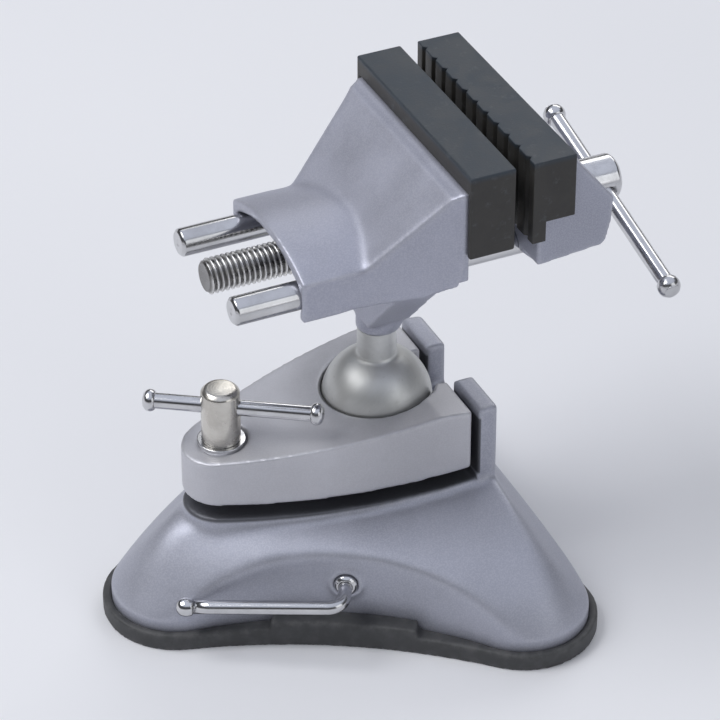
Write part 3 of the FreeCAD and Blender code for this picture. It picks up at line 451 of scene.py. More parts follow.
CLOUD_SHADE = 0.87                   # tone of the darker clouds
FLAKE, BARE_METAL, WORN_PAINT_AND_HIGHLIGHT = (0.66, 0.665, 0.70), (0.78, 0.77, 0.75), (0.62, 0.63, 0.68)
# Darker grey for the hollow corners; near-black for painted shade.
HOLLOW_DARK, SHADE_BLACK = (0.22, 0.22, 0.235), (0.035, 0.035, 0.038)


def cast_paint(name, shade, painted_shade=None):
    """Satin silver paint on cast aluminium: orange peel, cloudy tone, rubbed edges and a painted highlight
    along them, darker hollow corners.

    The last argument is a function that tells how much painted shade darkens each place."""
    paint = Paint(name, Metallic=0.5, IOR=1.45)
    convex, hollow = paint.edges()
    clouds = paint.noise(34, 5, 0.6)
    flakes = paint.noise(2600, 2, 0.5)
    peel = paint.noise(720, 2, 0.45)
    sink = paint.noise(120, 3, 0.5)
    tone = paint.mix(paint.ramp(clouds, 0.32, 0.68), [CLOUD_SHADE * part for part in shade], shade)
    tone = paint.mix(paint.ramp(flakes, 0.42, 0.62, 0.0, 0.22), tone, FLAKE)
    chips = paint.product(paint.ramp(convex, 0.25, 0.75), paint.ramp(paint.noise(420, 4, 0.7), 0.5, 0.62))
    tone = paint.mix(paint.product(chips, 0.07), tone, BARE_METAL)
    # Lighter on every convex edge: partly worn paint, partly a painted highlight along the edges.
    tone = paint.mix(paint.ramp(convex, 0.1, 0.9, 0.0, 0.14), tone, WORN_PAINT_AND_HIGHLIGHT)
    # Darker grey in the hollow corners.
    tone = paint.mix(paint.ramp(hollow, 0.05, 0.8, 0.0, 0.3), tone, HOLLOW_DARK)
    # Painted shade where the given function asks for it.
    if painted_shade:
        tone = paint.mix(painted_shade(paint), tone, SHADE_BLACK)
    rough = paint.math("SUBTRACT", paint.ramp(clouds, 0.25, 0.75, 0.40, 0.51), paint.product(chips, 0.04))
    paint.bump(sink, 0.35, 0.22)
    paint.bump(peel, 0.30, 0.09)
    return paint.done(tone, rough)


CHROME, DULL_CHROME, CHROME_SPECK = (0.65, 0.65, 0.66), (0.54, 0.54, 0.55), (0.3, 0.29, 0.27)
GROUND_STEEL, GROUND_FILM, DRAG_MARK = (0.63, 0.63, 0.64), (0.52, 0.52, 0.525), (0.42, 0.41, 0.40)
THREAD_ROOT, THREAD_CREST, THREAD_GRIME = (0.22, 0.215, 0.21), (0.72, 0.715, 0.705), (0.3, 0.29, 0.27)
HUB_STEEL, HUB_FILM = (0.65, 0.65, 0.66), (0.56, 0.56, 0.57)
BALL_STEEL, BALL_FILM, BRUISE = (0.66, 0.665, 0.655), (0.56, 0.565, 0.55), (0.36, 0.35, 0.33)
WARM_NICKEL, NICKEL_FILM = (0.66, 0.635, 0.585), (0.52, 0.495, 0.45)
BLACKENED, BLACKENED_PALE, RUBBED_STEEL = (0.055, 0.056, 0.06), (0.09, 0.088, 0.086), (0.32, 0.31, 0.3)
NEW_BRASS, DULL_BRASS = (0.62, 0.44, 0.19), (0.42, 0.28, 0.12)
HUB_SHEEN_START = 56.5 * MM          # just before the hub, where the lead screw's look changes
ROOT_SHADE, CREST_SHADE = 4.1 * MM, 4.8 * MM


def chrome():
    """Bright plated steel with faint smears, fine scratches and a few dull specks."""
    plate = Paint("bright_chrome", Metallic=1.0)
    smears = plate.noise(140, 5, 0.65, distortion=0.6)
    specks = plate.noise(1500, 3, 0.7)
    scratches = plate.noise(260, 3, 0.6, plate.moved(scale=(1, 9, 9), turn=(0.2, 0.3, 0.1)))
    tone = plate.mix(plate.ramp(smears, 0.3, 0.75), CHROME, DULL_CHROME)
    tone = plate.mix(plate.ramp(specks, 0.66, 0.74, 0.0, 0.5), tone, CHROME_SPECK)
    rough = plate.ramp(smears, 0.3, 0.75, 0.10, 0.24)
    plate.bump(scratches, 0.10, 0.04)
    return plate.done(tone, rough)


def rod_steel():
    """Ground and chromed guide rods: fine grinding marks round them and drag marks along them."""
    steel = Paint("ground_rod", Metallic=1.0)
    ground = steel.noise(5200, 2, 0.6, steel.moved(scale=(1, 0.04, 0.04)))
    drag = steel.noise(900, 3, 0.6, steel.moved(scale=(0.03, 1, 1)))
    film = steel.noise(70, 4, 0.6)
    tone = steel.mix(steel.ramp(film, 0.35, 0.7), GROUND_STEEL, GROUND_FILM)
    tone = steel.mix(steel.ramp(drag, 0.6, 0.72, 0.0, 0.35), tone, DRAG_MARK)
    rough = steel.ramp(film, 0.3, 0.75, 0.12, 0.24)
    steel.bump(ground, 0.10, 0.03)
    steel.bump(drag, 0.12, 0.03)
    return steel.done(tone, rough)


def thread_steel():
    """Lead screw: bright crests and darker roots, by the distance from its axis, and a smoother hub."""
    steel = Paint("threaded_steel", Metallic=1.0)
    along, across, up = steel.node("SeparateXYZ", Vector=steel.moved(offset=Z * -AXIS_Z * MM)).outputs
    radius = steel.length(steel.node("CombineXYZ", Y=across, Z=up).outputs[0])
    grime = steel.noise(300, 4, 0.6)
    tone = steel.mix(steel.ramp(radius, ROOT_SHADE, CREST_SHADE), THREAD_ROOT, THREAD_CREST)
    tone = steel.mix(steel.ramp(grime, 0.5, 0.75, 0.0, 0.45), tone, THREAD_GRIME)
    hub = steel.ramp(along, HUB_SHEEN_START, HUB_SHEEN_START + 0.3 * MM)
    tone = steel.mix(hub, tone, steel.mix(steel.ramp(grime, 0.35, 0.75), HUB_STEEL, HUB_FILM))
    rough = steel.math("SUBTRACT", steel.ramp(grime, 0.3, 0.7, 0.2, 0.36), steel.product(hub, 0.09))
    steel.bump(steel.noise(2500, 2, 0.5, steel.moved(scale=(0.1, 1, 1))), 0.12, 0.03)
    return steel.done(tone, rough)


def ball_metal():
    """Bare turned steel of the ball: lathe lines round its axis, a thin brownish film, small bruises."""
    steel = Paint("turned_ball", Metallic=0.85)
    lines = steel.noise(2600, 3, 0.6, steel.moved(scale=(0.02, 0.02, 1)))
    film = steel.noise(60, 5, 0.6, distortion=0.8)
    bruise = steel.noise(520, 4, 0.65)
    tone = steel.mix(steel.ramp(film, 0.3, 0.7), BALL_STEEL, BALL_FILM)
    tone = steel.mix(steel.ramp(bruise, 0.6, 0.72, 0.0, 0.25), tone, BRUISE)
    rough = steel.ramp(film, 0.3, 0.75, 0.40, 0.52)
    steel.bump(lines, 0.22, 0.04)
    steel.bump(bruise, 0.10, 0.06)
    return steel.done(tone, rough)


def nickel():
    """Warm nickel on the clamp screw, with facing rings on top and a slight knock here and there."""
    plate = Paint("warm_nickel", Metallic=1.0)
    centred = plate.moved(offset=CLAMP_AT * -MM)
    rings = plate.node("TexWave", {"wave_type": "RINGS", "rings_direction": "Z"}, Vector=centred, Scale=420,
                       Distortion=1.2, Detail=2, Detail_Scale=3).outputs["Fac"]
    film = plate.noise(160, 5, 0.6)
    tone = plate.mix(plate.ramp(film, 0.3, 0.72), WARM_NICKEL, NICKEL_FILM)
    rough = plate.ramp(film, 0.3, 0.75, 0.2, 0.34)
    plate.bump(rings, 0.12, 0.03)
    plate.bump(plate.noise(700, 3, 0.6), 0.08, 0.04)
    return plate.done(tone, rough)


def dark_steel():
    """Blackened steel of the small fasteners, rubbed grey on its edges."""
    steel = Paint("blackened_steel", Metallic=0.85)
    convex, _ = steel.edges()
    film = steel.noise(260, 4, 0.6)
    tone = steel.mix(steel.ramp(film, 0.35, 0.7), BLACKENED, BLACKENED_PALE)
    tone = steel.mix(steel.ramp(convex, 0.3, 0.9, 0.0, 0.6), tone, RUBBED_STEEL)
    rough = steel.ramp(film, 0.3, 0.7, 0.36, 0.5)
    steel.bump(steel.noise(1600, 3, 0.55), 0.15, 0.04)
    return steel.done(tone, rough)


def brass():
    """Turned brass of the nut that holds the lead screw."""
    metal = Paint("nut_brass", Metallic=1.0)
    film = metal.noise(180, 4, 0.6)
    tone = metal.mix(metal.ramp(film, 0.3, 0.72), NEW_BRASS, DULL_BRASS)
    metal.bump(metal.noise(2200, 2, 0.5, metal.moved(scale=(1, 0.05, 0.05))), 0.15, 0.03)
    return metal.done(tone, metal.ramp(film, 0.3, 0.75, 0.24, 0.42))


PAD_SIDES = (0.025, 0.0235, 0.0215), (0.038, 0.036, 0.033)
# Tops: the same plastic with a painted bluish sheen.
PAD_TOP_SHEEN = (0.022, 0.029, 0.038), (0.034, 0.045, 0.059)
PAD_SPOT = (0.075, 0.082, 0.09)
PAD_TOP_START, PAD_TOP_FULL = (PAD_TOP - 1.9) * MM, (PAD_TOP - 0.3) * MM
SKIRT_BLACK, SKIRT_DUST, SKIRT_EDGE = (0.042, 0.043, 0.045), (0.068, 0.069, 0.072), (0.12, 0.12, 0.122)
CUP_BLACK, CUP_DUST = (0.016, 0.016, 0.018), (0.028, 0.028, 0.03)


def pad_plastic():
    """Charcoal moulded jaw pads: grained, cloudy and with paler spots; brownish on the sides, and a painted
    bluish sheen on the tops.
    """
    plastic = Paint("charcoal_pad", Metallic=0.0, IOR=1.48)
    bloom = plastic.noise(95, 5, 0.62, distortion=0.5)
    grain = plastic.noise(1500, 4, 0.6)
    spots = plastic.noise(360, 4, 0.7)
    height = plastic.node("SeparateXYZ", Vector=plastic.place).outputs[2]
    side = plastic.mix(plastic.ramp(bloom, 0.3, 0.7), *PAD_SIDES)
    # Painted sheen: the tops lighter and bluer than the sides.
    top = plastic.mix(plastic.ramp(bloom, 0.3, 0.7), *PAD_TOP_SHEEN)
    tone = plastic.mix(plastic.ramp(height, PAD_TOP_START, PAD_TOP_FULL), side, top)
    tone = plastic.mix(plastic.ramp(spots, 0.56, 0.74, 0.0, 0.5), tone, PAD_SPOT)
    rough = plastic.ramp(bloom, 0.3, 0.7, 0.42, 0.56)
    plastic.bump(plastic.noise(210, 3, 0.5), 0.18, 0.15)
    plastic.bump(grain, 0.35, 0.08)
    return plastic.done(tone, rough)


def skirt_rubber():
    """Dark rubber under the foot: soft sheen, fine grain, dust along its edges."""
    rubber = Paint("skirt_rubber", Metallic=0.0, IOR=1.5)
    convex, _ = rubber.edges()
    dust = rubber.noise(240, 5, 0.65)
    tone = rubber.mix(rubber.ramp(dust, 0.35, 0.75), SKIRT_BLACK, SKIRT_DUST)
    tone = rubber.mix(rubber.product(convex, rubber.ramp(dust, 0.4, 0.7, 0.1, 0.5)), tone, SKIRT_EDGE)
    rough = rubber.ramp(dust, 0.3, 0.7, 0.5, 0.66)
    rubber.bump(rubber.noise(1100, 3, 0.6), 0.3, 0.07)
    return rubber.done(tone, rough)


def cup_rubber():
    """Clean black rubber of the suction cup."""
    rubber = Paint("cup_rubber", Metallic=0.0, IOR=1.5)
    dust = rubber.noise(180, 4, 0.6)
    tone = rubber.mix(rubber.ramp(dust, 0.35, 0.75), CUP_BLACK, CUP_DUST)
    rubber.bump(rubber.noise(900, 3, 0.6), 0.18, 0.05)
    return rubber.done(tone, rubber.ramp(dust, 0.3, 0.7, 0.34, 0.5))


# One paint on all four castings; their shades are painted light: the plate lit lighter and warmer, the foot,
# head and slider shaded darker and bluer.
BASE_PAINT = cast_paint("silver_paint_base", (0.408, 0.420, 0.492), shade_under_plate)
PLATE_PAINT = cast_paint("silver_paint_plate", (0.565, 0.565, 0.603), shade_round_ball)
HEAD_PAINT = cast_paint("silver_paint_head", (0.420, 0.431, 0.516))
SLIDER_PAINT = cast_paint("silver_paint_slider", (0.375, 0.387, 0.465))
BRIGHT, ROD, THREAD = chrome(), rod_steel(), thread_steel()
BALL, NICKEL, DARK, BRASS = ball_metal(), nickel(), dark_steel(), brass()
PAD, SKIRT, CUP = pad_plastic(), skirt_rubber(), cup_rubber()


# ---------------------------------------------------------------- castings and rubber

# Limits of the areas that are softer still: where they begin, and where they are full.
SLOPE_TOP, SLOPE_FOOT = (31.5, 28.5), (8.3, 10.3)
BOSS_PLACE, BOSS_EDGE = 30, (9, 6)             # along the lever shaft, and away from its axis
JAW_REAR, JAW_FRONT, JAW_FOOT = (-16, -12), (12.5, 10), (98, 102)


def fade(values, none, full):
    """0 where a value is at or past none, 1 where it is at or past full, and a straight line between them."""
    return np.clip((values - none) / (full - none), 0, 1)


def flare_area(places):
    """1 on the slopes of the foot, 0 on its deck, its rim and round the lever shaft."""
    height, out = places[:, 2], np.array(SHAFT_OUT)
    along = places @ out
    off_axis = np.linalg.norm(places - np.array([0, 0, SHAFT_Z]) - along[:, None] * out, axis=1)
    near_shaft = (along > BOSS_PLACE) * fade(off_axis, *BOSS_EDGE)
    return fade(height, *SLOPE_TOP) * fade(height, *SLOPE_FOOT) * (1 - near_shaft)


def ridge_area(places):
    """1 on the jaw's slopes and the ridges between them, 0 on its hood, its stem and beside the pad."""
    along, height = places[:, 0], places[:, 2]
    return fade(along, *JAW_REAR) * fade(along, *JAW_FRONT) * fade(height, *JAW_FOOT)


softened("base_casting", "foot_casting", BASE_PAINT, voxel=0.62, rounds=9, corners=30,
         region=(70, flare_area))
softened("clamp_plate", "plate_casting", PLATE_PAINT, voxel=0.45, rounds=13, corners=12)
softened("fixed_jaw", "jaw_casting", HEAD_PAINT, voxel=0.5, rounds=7, corners=50, region=(40, ridge_area))
softened("moving_jaw", "sliding_jaw_casting", SLIDER_PAINT, voxel=0.45, rounds=7, corners=20)
softened("base_skirt", "foot_skirt", SKIRT, voxel=0.55, rounds=8)
bevelled("fixed_jaw_pad", "inner_pad", PAD, width=0.55)
bevelled("moving_jaw_pad", "outer_pad", PAD, width=0.3)

# ---------------------------------------------------------------- turned pieces

NECK_RADIUS, SHANK_RADIUS = 5.4, 4.0
ROOT_LENGTH, ROOT_SAG = 1.5, 0.28    # the hollow where the ball runs into its neck
NECK_TOP, SHANK_LENGTH = 76.2, 22.9
BALL_STEPS, ROOT_STEPS = 48, 5
CLAMP_FOOT, HEAD_HIGH = (corner.z for corner in box_of("clamp_screw"))
CLAMP_RADIUS, HEAD_RADIUS, HEAD_CHAMFER = 3.0, 5.35, 1.2
WASHER_LOW, WASHER_HIGH = box_of("clamp_washer")[0].z, HEAD_LOW - 0.06     # a little clear of the head
WASHER_HOLE, WASHER_EDGE = 3.3, 6.65
CLAMP_BAR_RADIUS, JAW_BAR_RADIUS, HOLE_PLAY = 2.2, 2.25, 0.08
CLAMP_BAR_AT = CLAMP_AT + Z * sum(corner.z for corner in box_of("clamp_bar")) / 2
CLAMP_BAR_WAY = way_of("clamp_bar_slide")
JAW_BAR_AT = Vector((sum(corner.x for corner in box_of("jaw_bar")) / 2, 0, AXIS_Z))
JAW_BAR_WAY = way_of("jaw_bar_slide")
BAR_END = 0.4                        # how far a bar stops inside the outer faces of its ends
CAP_FILLET = 0.35
LEVER_RADIUS, LEVER_BEND = 1.9, 4.2
LEVER_REACH = 47.324                 # plane of the bar, from the middle of the foot
LEVER_DROOP = math.radians(3.7)
LEVER_WAY = SHAFT_OUT.cross(Z) * math.cos(LEVER_DROOP) - Z * math.sin(LEVER_DROOP)
LEVER_FOOT = Z * SHAFT_Z + SHAFT_OUT * LEVER_REACH
KNOB_PLACE = 40.64                   # along the bar
KNOB_RADIUS, KNOB_LENGTH = 2.6, 4.6
SHAFT_STATIONS = 30.0, 36.0, 42.39   # along the shaft, before the bend
BAR_STATIONS = 4.21, 12, 24, 36, 43.2          # along the bar, after the bend
ROD_RADIUS = AXIS_Z - box_of("near_guide_rod")[0].z
ROD_LENGTH = box_of("near_guide_rod")[1].x - RODS_START
ROD_SIDE = 18                        # from the lead screw to each rod
THREAD_LENGTH, THREAD_PITCH, THREAD_STEP, THREAD_SEGMENTS = 78.0, 1.5, 0.125, 72
CREST_RADIUS, ROOT_RADIUS, START_RADIUS = 4.9, 4.02, 3.9
ROOT_FLAT, FLANK_SHARE = 0.12, 0.74            # shares of half a turn of the thread
CENTRE_MARK = 0.55                             # depth of the hollow in the screw's free end
JOURNAL_START, JOURNAL_RADIUS = 27.5, 5.0      # from the axis of the neck, like the hub
HUB_START, HUB_END = 51.6, box_of("lead_screw")[1].x - BALL_AT.x
HUB_RADIUS, HUB_CHAMFER = box_of("lead_screw")[1].y, 1.0


def ball_and_neck():
    """Ball, neck and shank; places along them count from the centre of the ball."""
    end_angle = math.asin((NECK_RADIUS + 0.5) / BALL_RADIUS)
    points = [Vector((-BALL_RADIUS, 0))]
    for k in range(1, BALL_STEPS + 1):
        angle = math.pi - (math.pi - end_angle) * k / BALL_STEPS
        points.append(Vector((BALL_RADIUS * math.cos(angle), BALL_RADIUS * math.sin(angle))))
    root = points[-1]
    neck_start = Vector((root.x + ROOT_LENGTH, NECK_RADIUS))
    for k in range(1, ROOT_STEPS + 1):
        t = k / ROOT_STEPS
        points.append(root.lerp(neck_start, t) - Vector((0, ROOT_SAG * math.sin(math.pi * t))))
    shoulder = NECK_TOP - BALL_AT.z
    end = shoulder + SHANK_LENGTH
    tail = filleted([neck_start, (shoulder, NECK_RADIUS), (shoulder, SHANK_RADIUS),
                     (end, SHANK_RADIUS), (end, 0)], 0.3)
    work = bmesh.new()
    add_turned(work, points + tail[1:], BALL_AT, Z, FINE_SEGMENTS)
    return from_bmesh("ball_and_neck", work)


def clamp_screw():
    """The clamp screw with its tall head, crossed by the hole for its bar."""
    corners = [(CLAMP_FOOT, 0), (CLAMP_FOOT, CLAMP_RADIUS), (HEAD_LOW, CLAMP_RADIUS), (HEAD_LOW, HEAD_RADIUS),
               (HEAD_HIGH - HEAD_CHAMFER, HEAD_RADIUS, 0.5), (HEAD_HIGH, HEAD_RADIUS - HEAD_CHAMFER, 0.5),
               (HEAD_HIGH, 0)]
    post = turned("clamp_post", corners, CLAMP_AT, Z, 0.2)
    bored(post, CLAMP_BAR_RADIUS + HOLE_PLAY, CLAMP_BAR_AT, CLAMP_BAR_WAY, 14)
    return post


def clamp_washer():
    """A plated washer under the head of the clamp screw."""
    corners = [(WASHER_LOW, WASHER_HOLE), (WASHER_LOW, WASHER_EDGE), (WASHER_HIGH, WASHER_EDGE),
               (WASHER_HIGH, WASHER_HOLE), (WASHER_LOW, WASHER_HOLE)]
    return turned("bright_washer", corners, CLAMP_AT, Z, 0.3)


def cap_corners(radius, length, bar):
    """A round bar end: a short neck, a ball and a small flat."""
    return [(0, 0), (0, bar + 0.25), (0.14 * length, 0.93 * radius), (0.42 * length, 1.02 * radius, 1.2),
            (0.74 * length, 0.92 * radius, 1.2), (0.95 * length, 0.58 * radius), (length, 0.28 * radius),
            (length, 0)]


def bar_with_caps(names, nodes, radius, middle, half, cap_radius, cap_length, origin, way):
    """A sliding bar and its two round ends; names and nodes are first the bar's, then those of its ends.

    middle: where the middle of the bar stands along its way; half: from there to the outside of an end."""
    low, high = middle - half, middle + half
    start, end = low + BAR_END, high - BAR_END
    bar = turned(names[0], [(start, 0), (start, radius), (end, radius), (end, 0)], origin, way, 0.1)
    stands_for(flat_ends(bar), BRIGHT, nodes[0])
    corners = cap_corners(cap_radius, cap_length, radius)
    caps = [turned("cap", corners, origin + way * place, outward, CAP_FILLET, CAP_SEGMENTS)
            for place, outward in ((high - cap_length, way), (low + cap_length, -way))]
    stands_for(joined(names[1], caps), BRIGHT, nodes[1])


def lever_rod():
    """A round rod that leaves the shaft and bends round into the lever."""
    segments, bend_steps = 40, 16
    stations = [(Z * SHAFT_Z + SHAFT_OUT * reach, SHAFT_OUT) for reach in SHAFT_STATIONS]
    hinge = LEVER_FOOT + (LEVER_WAY - SHAFT_OUT) * LEVER_BEND
    for k in range(bend_steps + 1):
        turn = math.pi / 2 * k / bend_steps
        stations.append((hinge + (SHAFT_OUT * math.sin(turn) - LEVER_WAY * math.cos(turn)) * LEVER_BEND,
                         SHAFT_OUT * math.cos(turn) + LEVER_WAY * math.sin(turn)))
    stations += [(LEVER_FOOT + LEVER_WAY * reach, LEVER_WAY) for reach in BAR_STATIONS]
    up = SHAFT_OUT.cross(LEVER_WAY).normalized()
    work, rings = bmesh.new(), []
    for place, way in stations:
        across, ring = up.cross(way), []
        for k in range(segments):
            turn = 2 * math.pi * k / segments
            out = up * math.cos(turn) + across * math.sin(turn)
            ring.append(work.verts.new((place + out * LEVER_RADIUS) * MM))
        rings.append(ring)
    skin(work, rings)
    work.faces.new(rings[0])
    work.faces.new(rings[-1])
    return from_bmesh("lever_rod", work)


def lever_knob():
    """The round end of the lever."""
    return turned("lever_ball", cap_corners(KNOB_RADIUS, KNOB_LENGTH, LEVER_RADIUS),
                  LEVER_FOOT + LEVER_WAY * KNOB_PLACE, LEVER_WAY, CAP_FILLET, CAP_SEGMENTS)


def guide_rod(name, side):
    """A guide rod with a rounded free end."""
    corners = [(0.7, 0), (0.0, 1.1), (0.0, 3.15), (0.75, ROD_RADIUS, 0.3), (ROD_LENGTH, ROD_RADIUS),
               (ROD_LENGTH, 0)]
    return turned(name, corners, (RODS_START, side, AXIS_Z), X, 0.15)


def thread_radius(place, share):
    """Radius of the thread at a place along it and at a share of a turn, with its chamfered start."""
    phase = (place / THREAD_PITCH - share) % 1.0
    flank = min(1.0, max(0.0, (abs(phase * 2 - 1) - ROOT_FLAT) / FLANK_SHARE))
    return min(CREST_RADIUS, START_RADIUS + place, ROOT_RADIUS + (CREST_RADIUS - ROOT_RADIUS) * flank)


def thread():
    """The cut thread of the lead screw, with a hollow centre mark in its free end."""
    work, rings = bmesh.new(), []
    for i in range(int(THREAD_LENGTH / THREAD_STEP) + 1):
        place = i * THREAD_STEP
        ring = []
        for k in range(THREAD_SEGMENTS):
            share = k / THREAD_SEGMENTS
            radius, turn = thread_radius(place, share), 2 * math.pi * share
            corner = Vector((place, radius * math.cos(turn), radius * math.sin(turn)))
            ring.append(work.verts.new(corner * MM))
        rings.append(ring)
    skin(work, rings)
    for ring, place in ((rings[0], CENTRE_MARK), (rings[-1], THREAD_LENGTH)):
        skin(work, [ring, [work.verts.new((place * MM, 0, 0))]])
    bmesh.ops.translate(work, verts=work.verts, vec=Vector((RODS_START, 0, AXIS_Z)) * MM)
    return from_bmesh("thread", work)


def lead_screw():
    """Thread, plain journal and a hub that is crossed by the hole for its bar."""
    axis = (BALL_AT.x, 0, AXIS_Z)
    journal = turned("journal", [(JOURNAL_START, 0), (JOURNAL_START, CREST_RADIUS), (31.0, JOURNAL_RADIUS),
                                 (HUB_START, JOURNAL_RADIUS), (HUB_START, 0)], axis, X, 0.1)
    hub = turned("hub", [(HUB_START, 0), (HUB_START, HUB_RADIUS), (HUB_END - HUB_CHAMFER, HUB_RADIUS, 0.5),
                         (HUB_END, HUB_RADIUS - HUB_CHAMFER, 0.4), (HUB_END, 0)], axis, X, 0.35)
    bored(hub, JAW_BAR_RADIUS + HOLE_PLAY, JAW_BAR_AT, JAW_BAR_WAY, 16)
    return joined("lead_screw_and_hub", [thread(), journal, hub])


stands_for(flat_ends(ball_and_neck()), BALL, "ball_stud")
stands_for(flat_ends(clamp_screw()), NICKEL, "clamp_screw")
stands_for(flat_ends(clamp_washer()), BRIGHT, "clamp_washer")
bar_with_caps(("clamp_handle_bar", "clamp_handle_ends"), ("clamp_bar", "clamp_bar_caps"), CLAMP_BAR_RADIUS,
              middle=3.5, half=24.75, cap_radius=3.1, cap_length=3.5, origin=CLAMP_BAR_AT, way=CLAMP_BAR_WAY)
bar_with_caps(("jaw_handle_bar", "jaw_handle_ends"), ("jaw_bar", "jaw_bar_caps"), JAW_BAR_RADIUS,
              middle=8.2, half=37.25, cap_radius=3.2, cap_length=4.5, origin=JAW_BAR_AT, way=JAW_BAR_WAY)
stands_for(flat_ends(lever_rod()), BRIGHT, "suction_lever")
stands_for(flat_ends(lever_knob()), BRIGHT, "lever_knob")
stands_for(flat_ends(guide_rod("near_rod", -ROD_SIDE)), ROD, "near_guide_rod")
stands_for(flat_ends(guide_rod("far_rod", ROD_SIDE)), ROD, "far_guide_rod")
stands_for(flat_ends(lead_screw()), THREAD, "lead_screw")

# ---------------------------------------------------------------- suction parts and small hardware

# Upper face of the cup from its middle out, its lip, and the hollow face under it.
CUP_CORNERS = [
    (3.0, 0), (3.0, 18.6), (2.35, 24.0), (1.75, 30.2), (1.3, 30.8), (0.75, 30.8), (0.3, 30.3), (0.3, 27.6),
    (0.75, 27.0), (0.75, 24.6), (0.45, 24.2), (0.45, 23.2), (0.95, 22.8), (1.15, 17.0), (0.9, 16.6),
    (0.9, 15.6), (1.3, 15.2), (1.5, 6.0), (1.5, 0)]
membrane = turned("suction_membrane", CUP_CORNERS, (0, 0, 0), Z, 0.3, FINE_SEGMENTS)
stands_for(flat_ends(membrane), CUP, "suction_cup")
for node, name, material, voxel, rounds in (
        ("cup_plate", "stiffening_plate", DARK, 0.4, 2),
        ("lift_stud", "lift_yoke", DARK, 0.3, 3),
        ("cam_shaft", "lever_shaft", BRIGHT, 0.22, 3),
        ("shaft_clip", "retaining_clip", DARK, 0.16, 2),
        ("screw_collar", "thrust_collar", DARK, 0.25, 3),
        ("collar_pin", "cross_pin", DARK, 0.14, 2),
        ("rod_set_screws", "set_screws", DARK, 0.18, 2),
        ("stud_grub_screw", "grub_screw", DARK, 0.18, 2),
        ("lead_nut", "brass_nut", BRASS, 0.35, 2)):
    softened(node, name, material, voxel, rounds)

# ---------------------------------------------------------------- floor, light and camera

FLOOR_HALF = 12.0
FLOOR_TONES = (0.868, 0.878, 0.922), (0.888, 0.897, 0.937)
HORIZON, ZENITH = (0.80, 0.805, 0.84, 1), (0.70, 0.74, 0.86, 1)
SKY_BANDS = (
    (0.08, (0.74, 0.745, 0.78, 1)), (0.19, (0.06, 0.061, 0.066, 1)),
    (0.54, (0.085, 0.088, 0.095, 1)), (0.74, (0.66, 0.70, 0.81, 1)))
SOFT_LIGHT, SOFT_STRENGTH = (0.92, 0.94, 1.0, 1), 0.40
AZIMUTH, ELEVATION = math.radians(-24.8), math.radians(34.8)
MIDDLE = Vector((0.0005, 0, 0.066))
DISTANCE, LENS, SENSOR = 1.002, 184.0, 36.0    # lens and sensor in millimetres

floor_corners = [(x * FLOOR_HALF, y * FLOOR_HALF, 0) for x, y in ((-1, -1), (1, -1), (1, 1), (-1, 1))]
floor_mesh = bpy.data.meshes.new("floor")
floor_mesh.from_pydata(floor_corners, [], [(0, 1, 2, 3)])
floor = new_object("floor", floor_mesh)
floor_paint = Paint("pale_floor", Metallic=0.0, Roughness=0.75)
floor_clouds = floor_paint.ramp(floor_paint.noise(3, 2), 0.3, 0.7)
floor_mesh.materials.append(floor_paint.done(floor_paint.mix(floor_clouds, *FLOOR_TONES)))


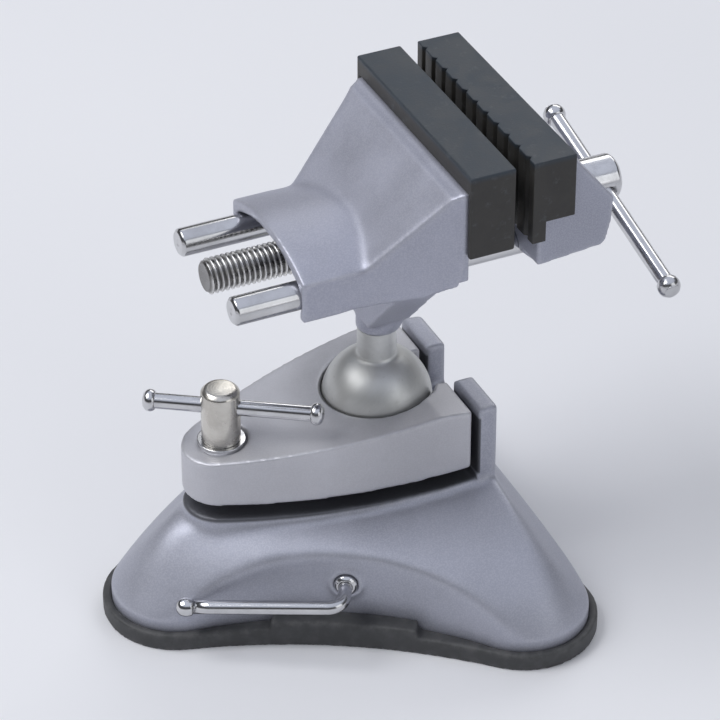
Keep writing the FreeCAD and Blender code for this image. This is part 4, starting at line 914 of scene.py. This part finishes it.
def studio_world():
    """Soft light on the vise; camera, glossy and transmission rays see a pale sky with a dark band."""
    world = bpy.data.worlds.new("studio")
    scene.world = world
    world.use_nodes = True
    nodes, links = world.node_tree.nodes, world.node_tree.links
    nodes.clear()
    path = nodes.new("ShaderNodeLightPath")
    mirrored, seen = nodes.new("ShaderNodeMath"), nodes.new("ShaderNodeMath")
    for node in (mirrored, seen):
        node.operation, node.use_clamp = "ADD", True
    links.new(path.outputs["Is Glossy Ray"], mirrored.inputs[0])
    links.new(path.outputs["Is Transmission Ray"], mirrored.inputs[1])
    links.new(path.outputs["Is Camera Ray"], seen.inputs[0])
    links.new(mirrored.outputs[0], seen.inputs[1])
    coords, split = nodes.new("ShaderNodeTexCoord"), nodes.new("ShaderNodeSeparateXYZ")
    links.new(coords.outputs["Generated"], split.inputs[0])
    sky = nodes.new("ShaderNodeValToRGB")
    links.new(split.outputs["Z"], sky.inputs[0])
    stops = sky.color_ramp.elements
    stops[0].color, stops[1].color = HORIZON, ZENITH
    for place, colour in SKY_BANDS:
        stops.new(place).color = colour
    shown, lit = nodes.new("ShaderNodeBackground"), nodes.new("ShaderNodeBackground")
    links.new(sky.outputs[0], shown.inputs[0])
    lit.inputs[0].default_value, lit.inputs[1].default_value = SOFT_LIGHT, SOFT_STRENGTH
    blend = nodes.new("ShaderNodeMixShader")
    links.new(seen.outputs[0], blend.inputs[0])
    links.new(lit.outputs[0], blend.inputs[1])
    links.new(shown.outputs[0], blend.inputs[2])
    links.new(blend.outputs[0], nodes.new("ShaderNodeOutputWorld").inputs[0])


# Unit vectors from the vise to the camera: straight, level, and to its right.
to_camera = Vector((math.sin(AZIMUTH) * math.cos(ELEVATION), -math.cos(AZIMUTH) * math.cos(ELEVATION),
                    math.sin(ELEVATION)))
level = Vector((to_camera.x, to_camera.y, 0)).normalized()
right = Vector((math.cos(AZIMUTH), math.sin(AZIMUTH), 0))


def lamp(name, aside, towards, above, width, height, power, tint=(1, 1, 1)):
    """A soft box, placed to the right, towards the camera and up from the middle of the vise."""
    data = bpy.data.lights.new(name, "AREA")
    data.shape, data.size, data.size_y, data.energy, data.color = "RECTANGLE", width, height, power, tint
    light = bpy.data.objects.new(name, data)
    scene.collection.objects.link(light)
    light.location = MIDDLE + right * aside + level * towards + Z * above
    light.rotation_euler = (MIDDLE - light.location).to_track_quat("-Z", "Y").to_euler()


studio_world()
lamp("key", aside=-0.7, towards=0.1, above=1.0, width=0.85, height=0.6, power=7.8)
lamp("fill", aside=0.9, towards=0.7, above=0.5, width=0.7, height=0.7, power=1.7, tint=(0.95, 0.97, 1))
lamp("rim", aside=0.35, towards=-1.0, above=0.7, width=0.9, height=0.4, power=2.6)

camera_data = bpy.data.cameras.new("camera")
camera_data.sensor_width, camera_data.lens = SENSOR, LENS
camera_data.clip_start, camera_data.clip_end = 0.05, 50
camera = bpy.data.objects.new("camera", camera_data)
scene.collection.objects.link(camera)
scene.camera = camera
camera.location = MIDDLE + to_camera * DISTANCE
camera.rotation_mode = "QUATERNION"
camera.rotation_quaternion = (-to_camera).to_track_quat("-Z", "Y")
scene.view_settings.view_transform = "Standard"
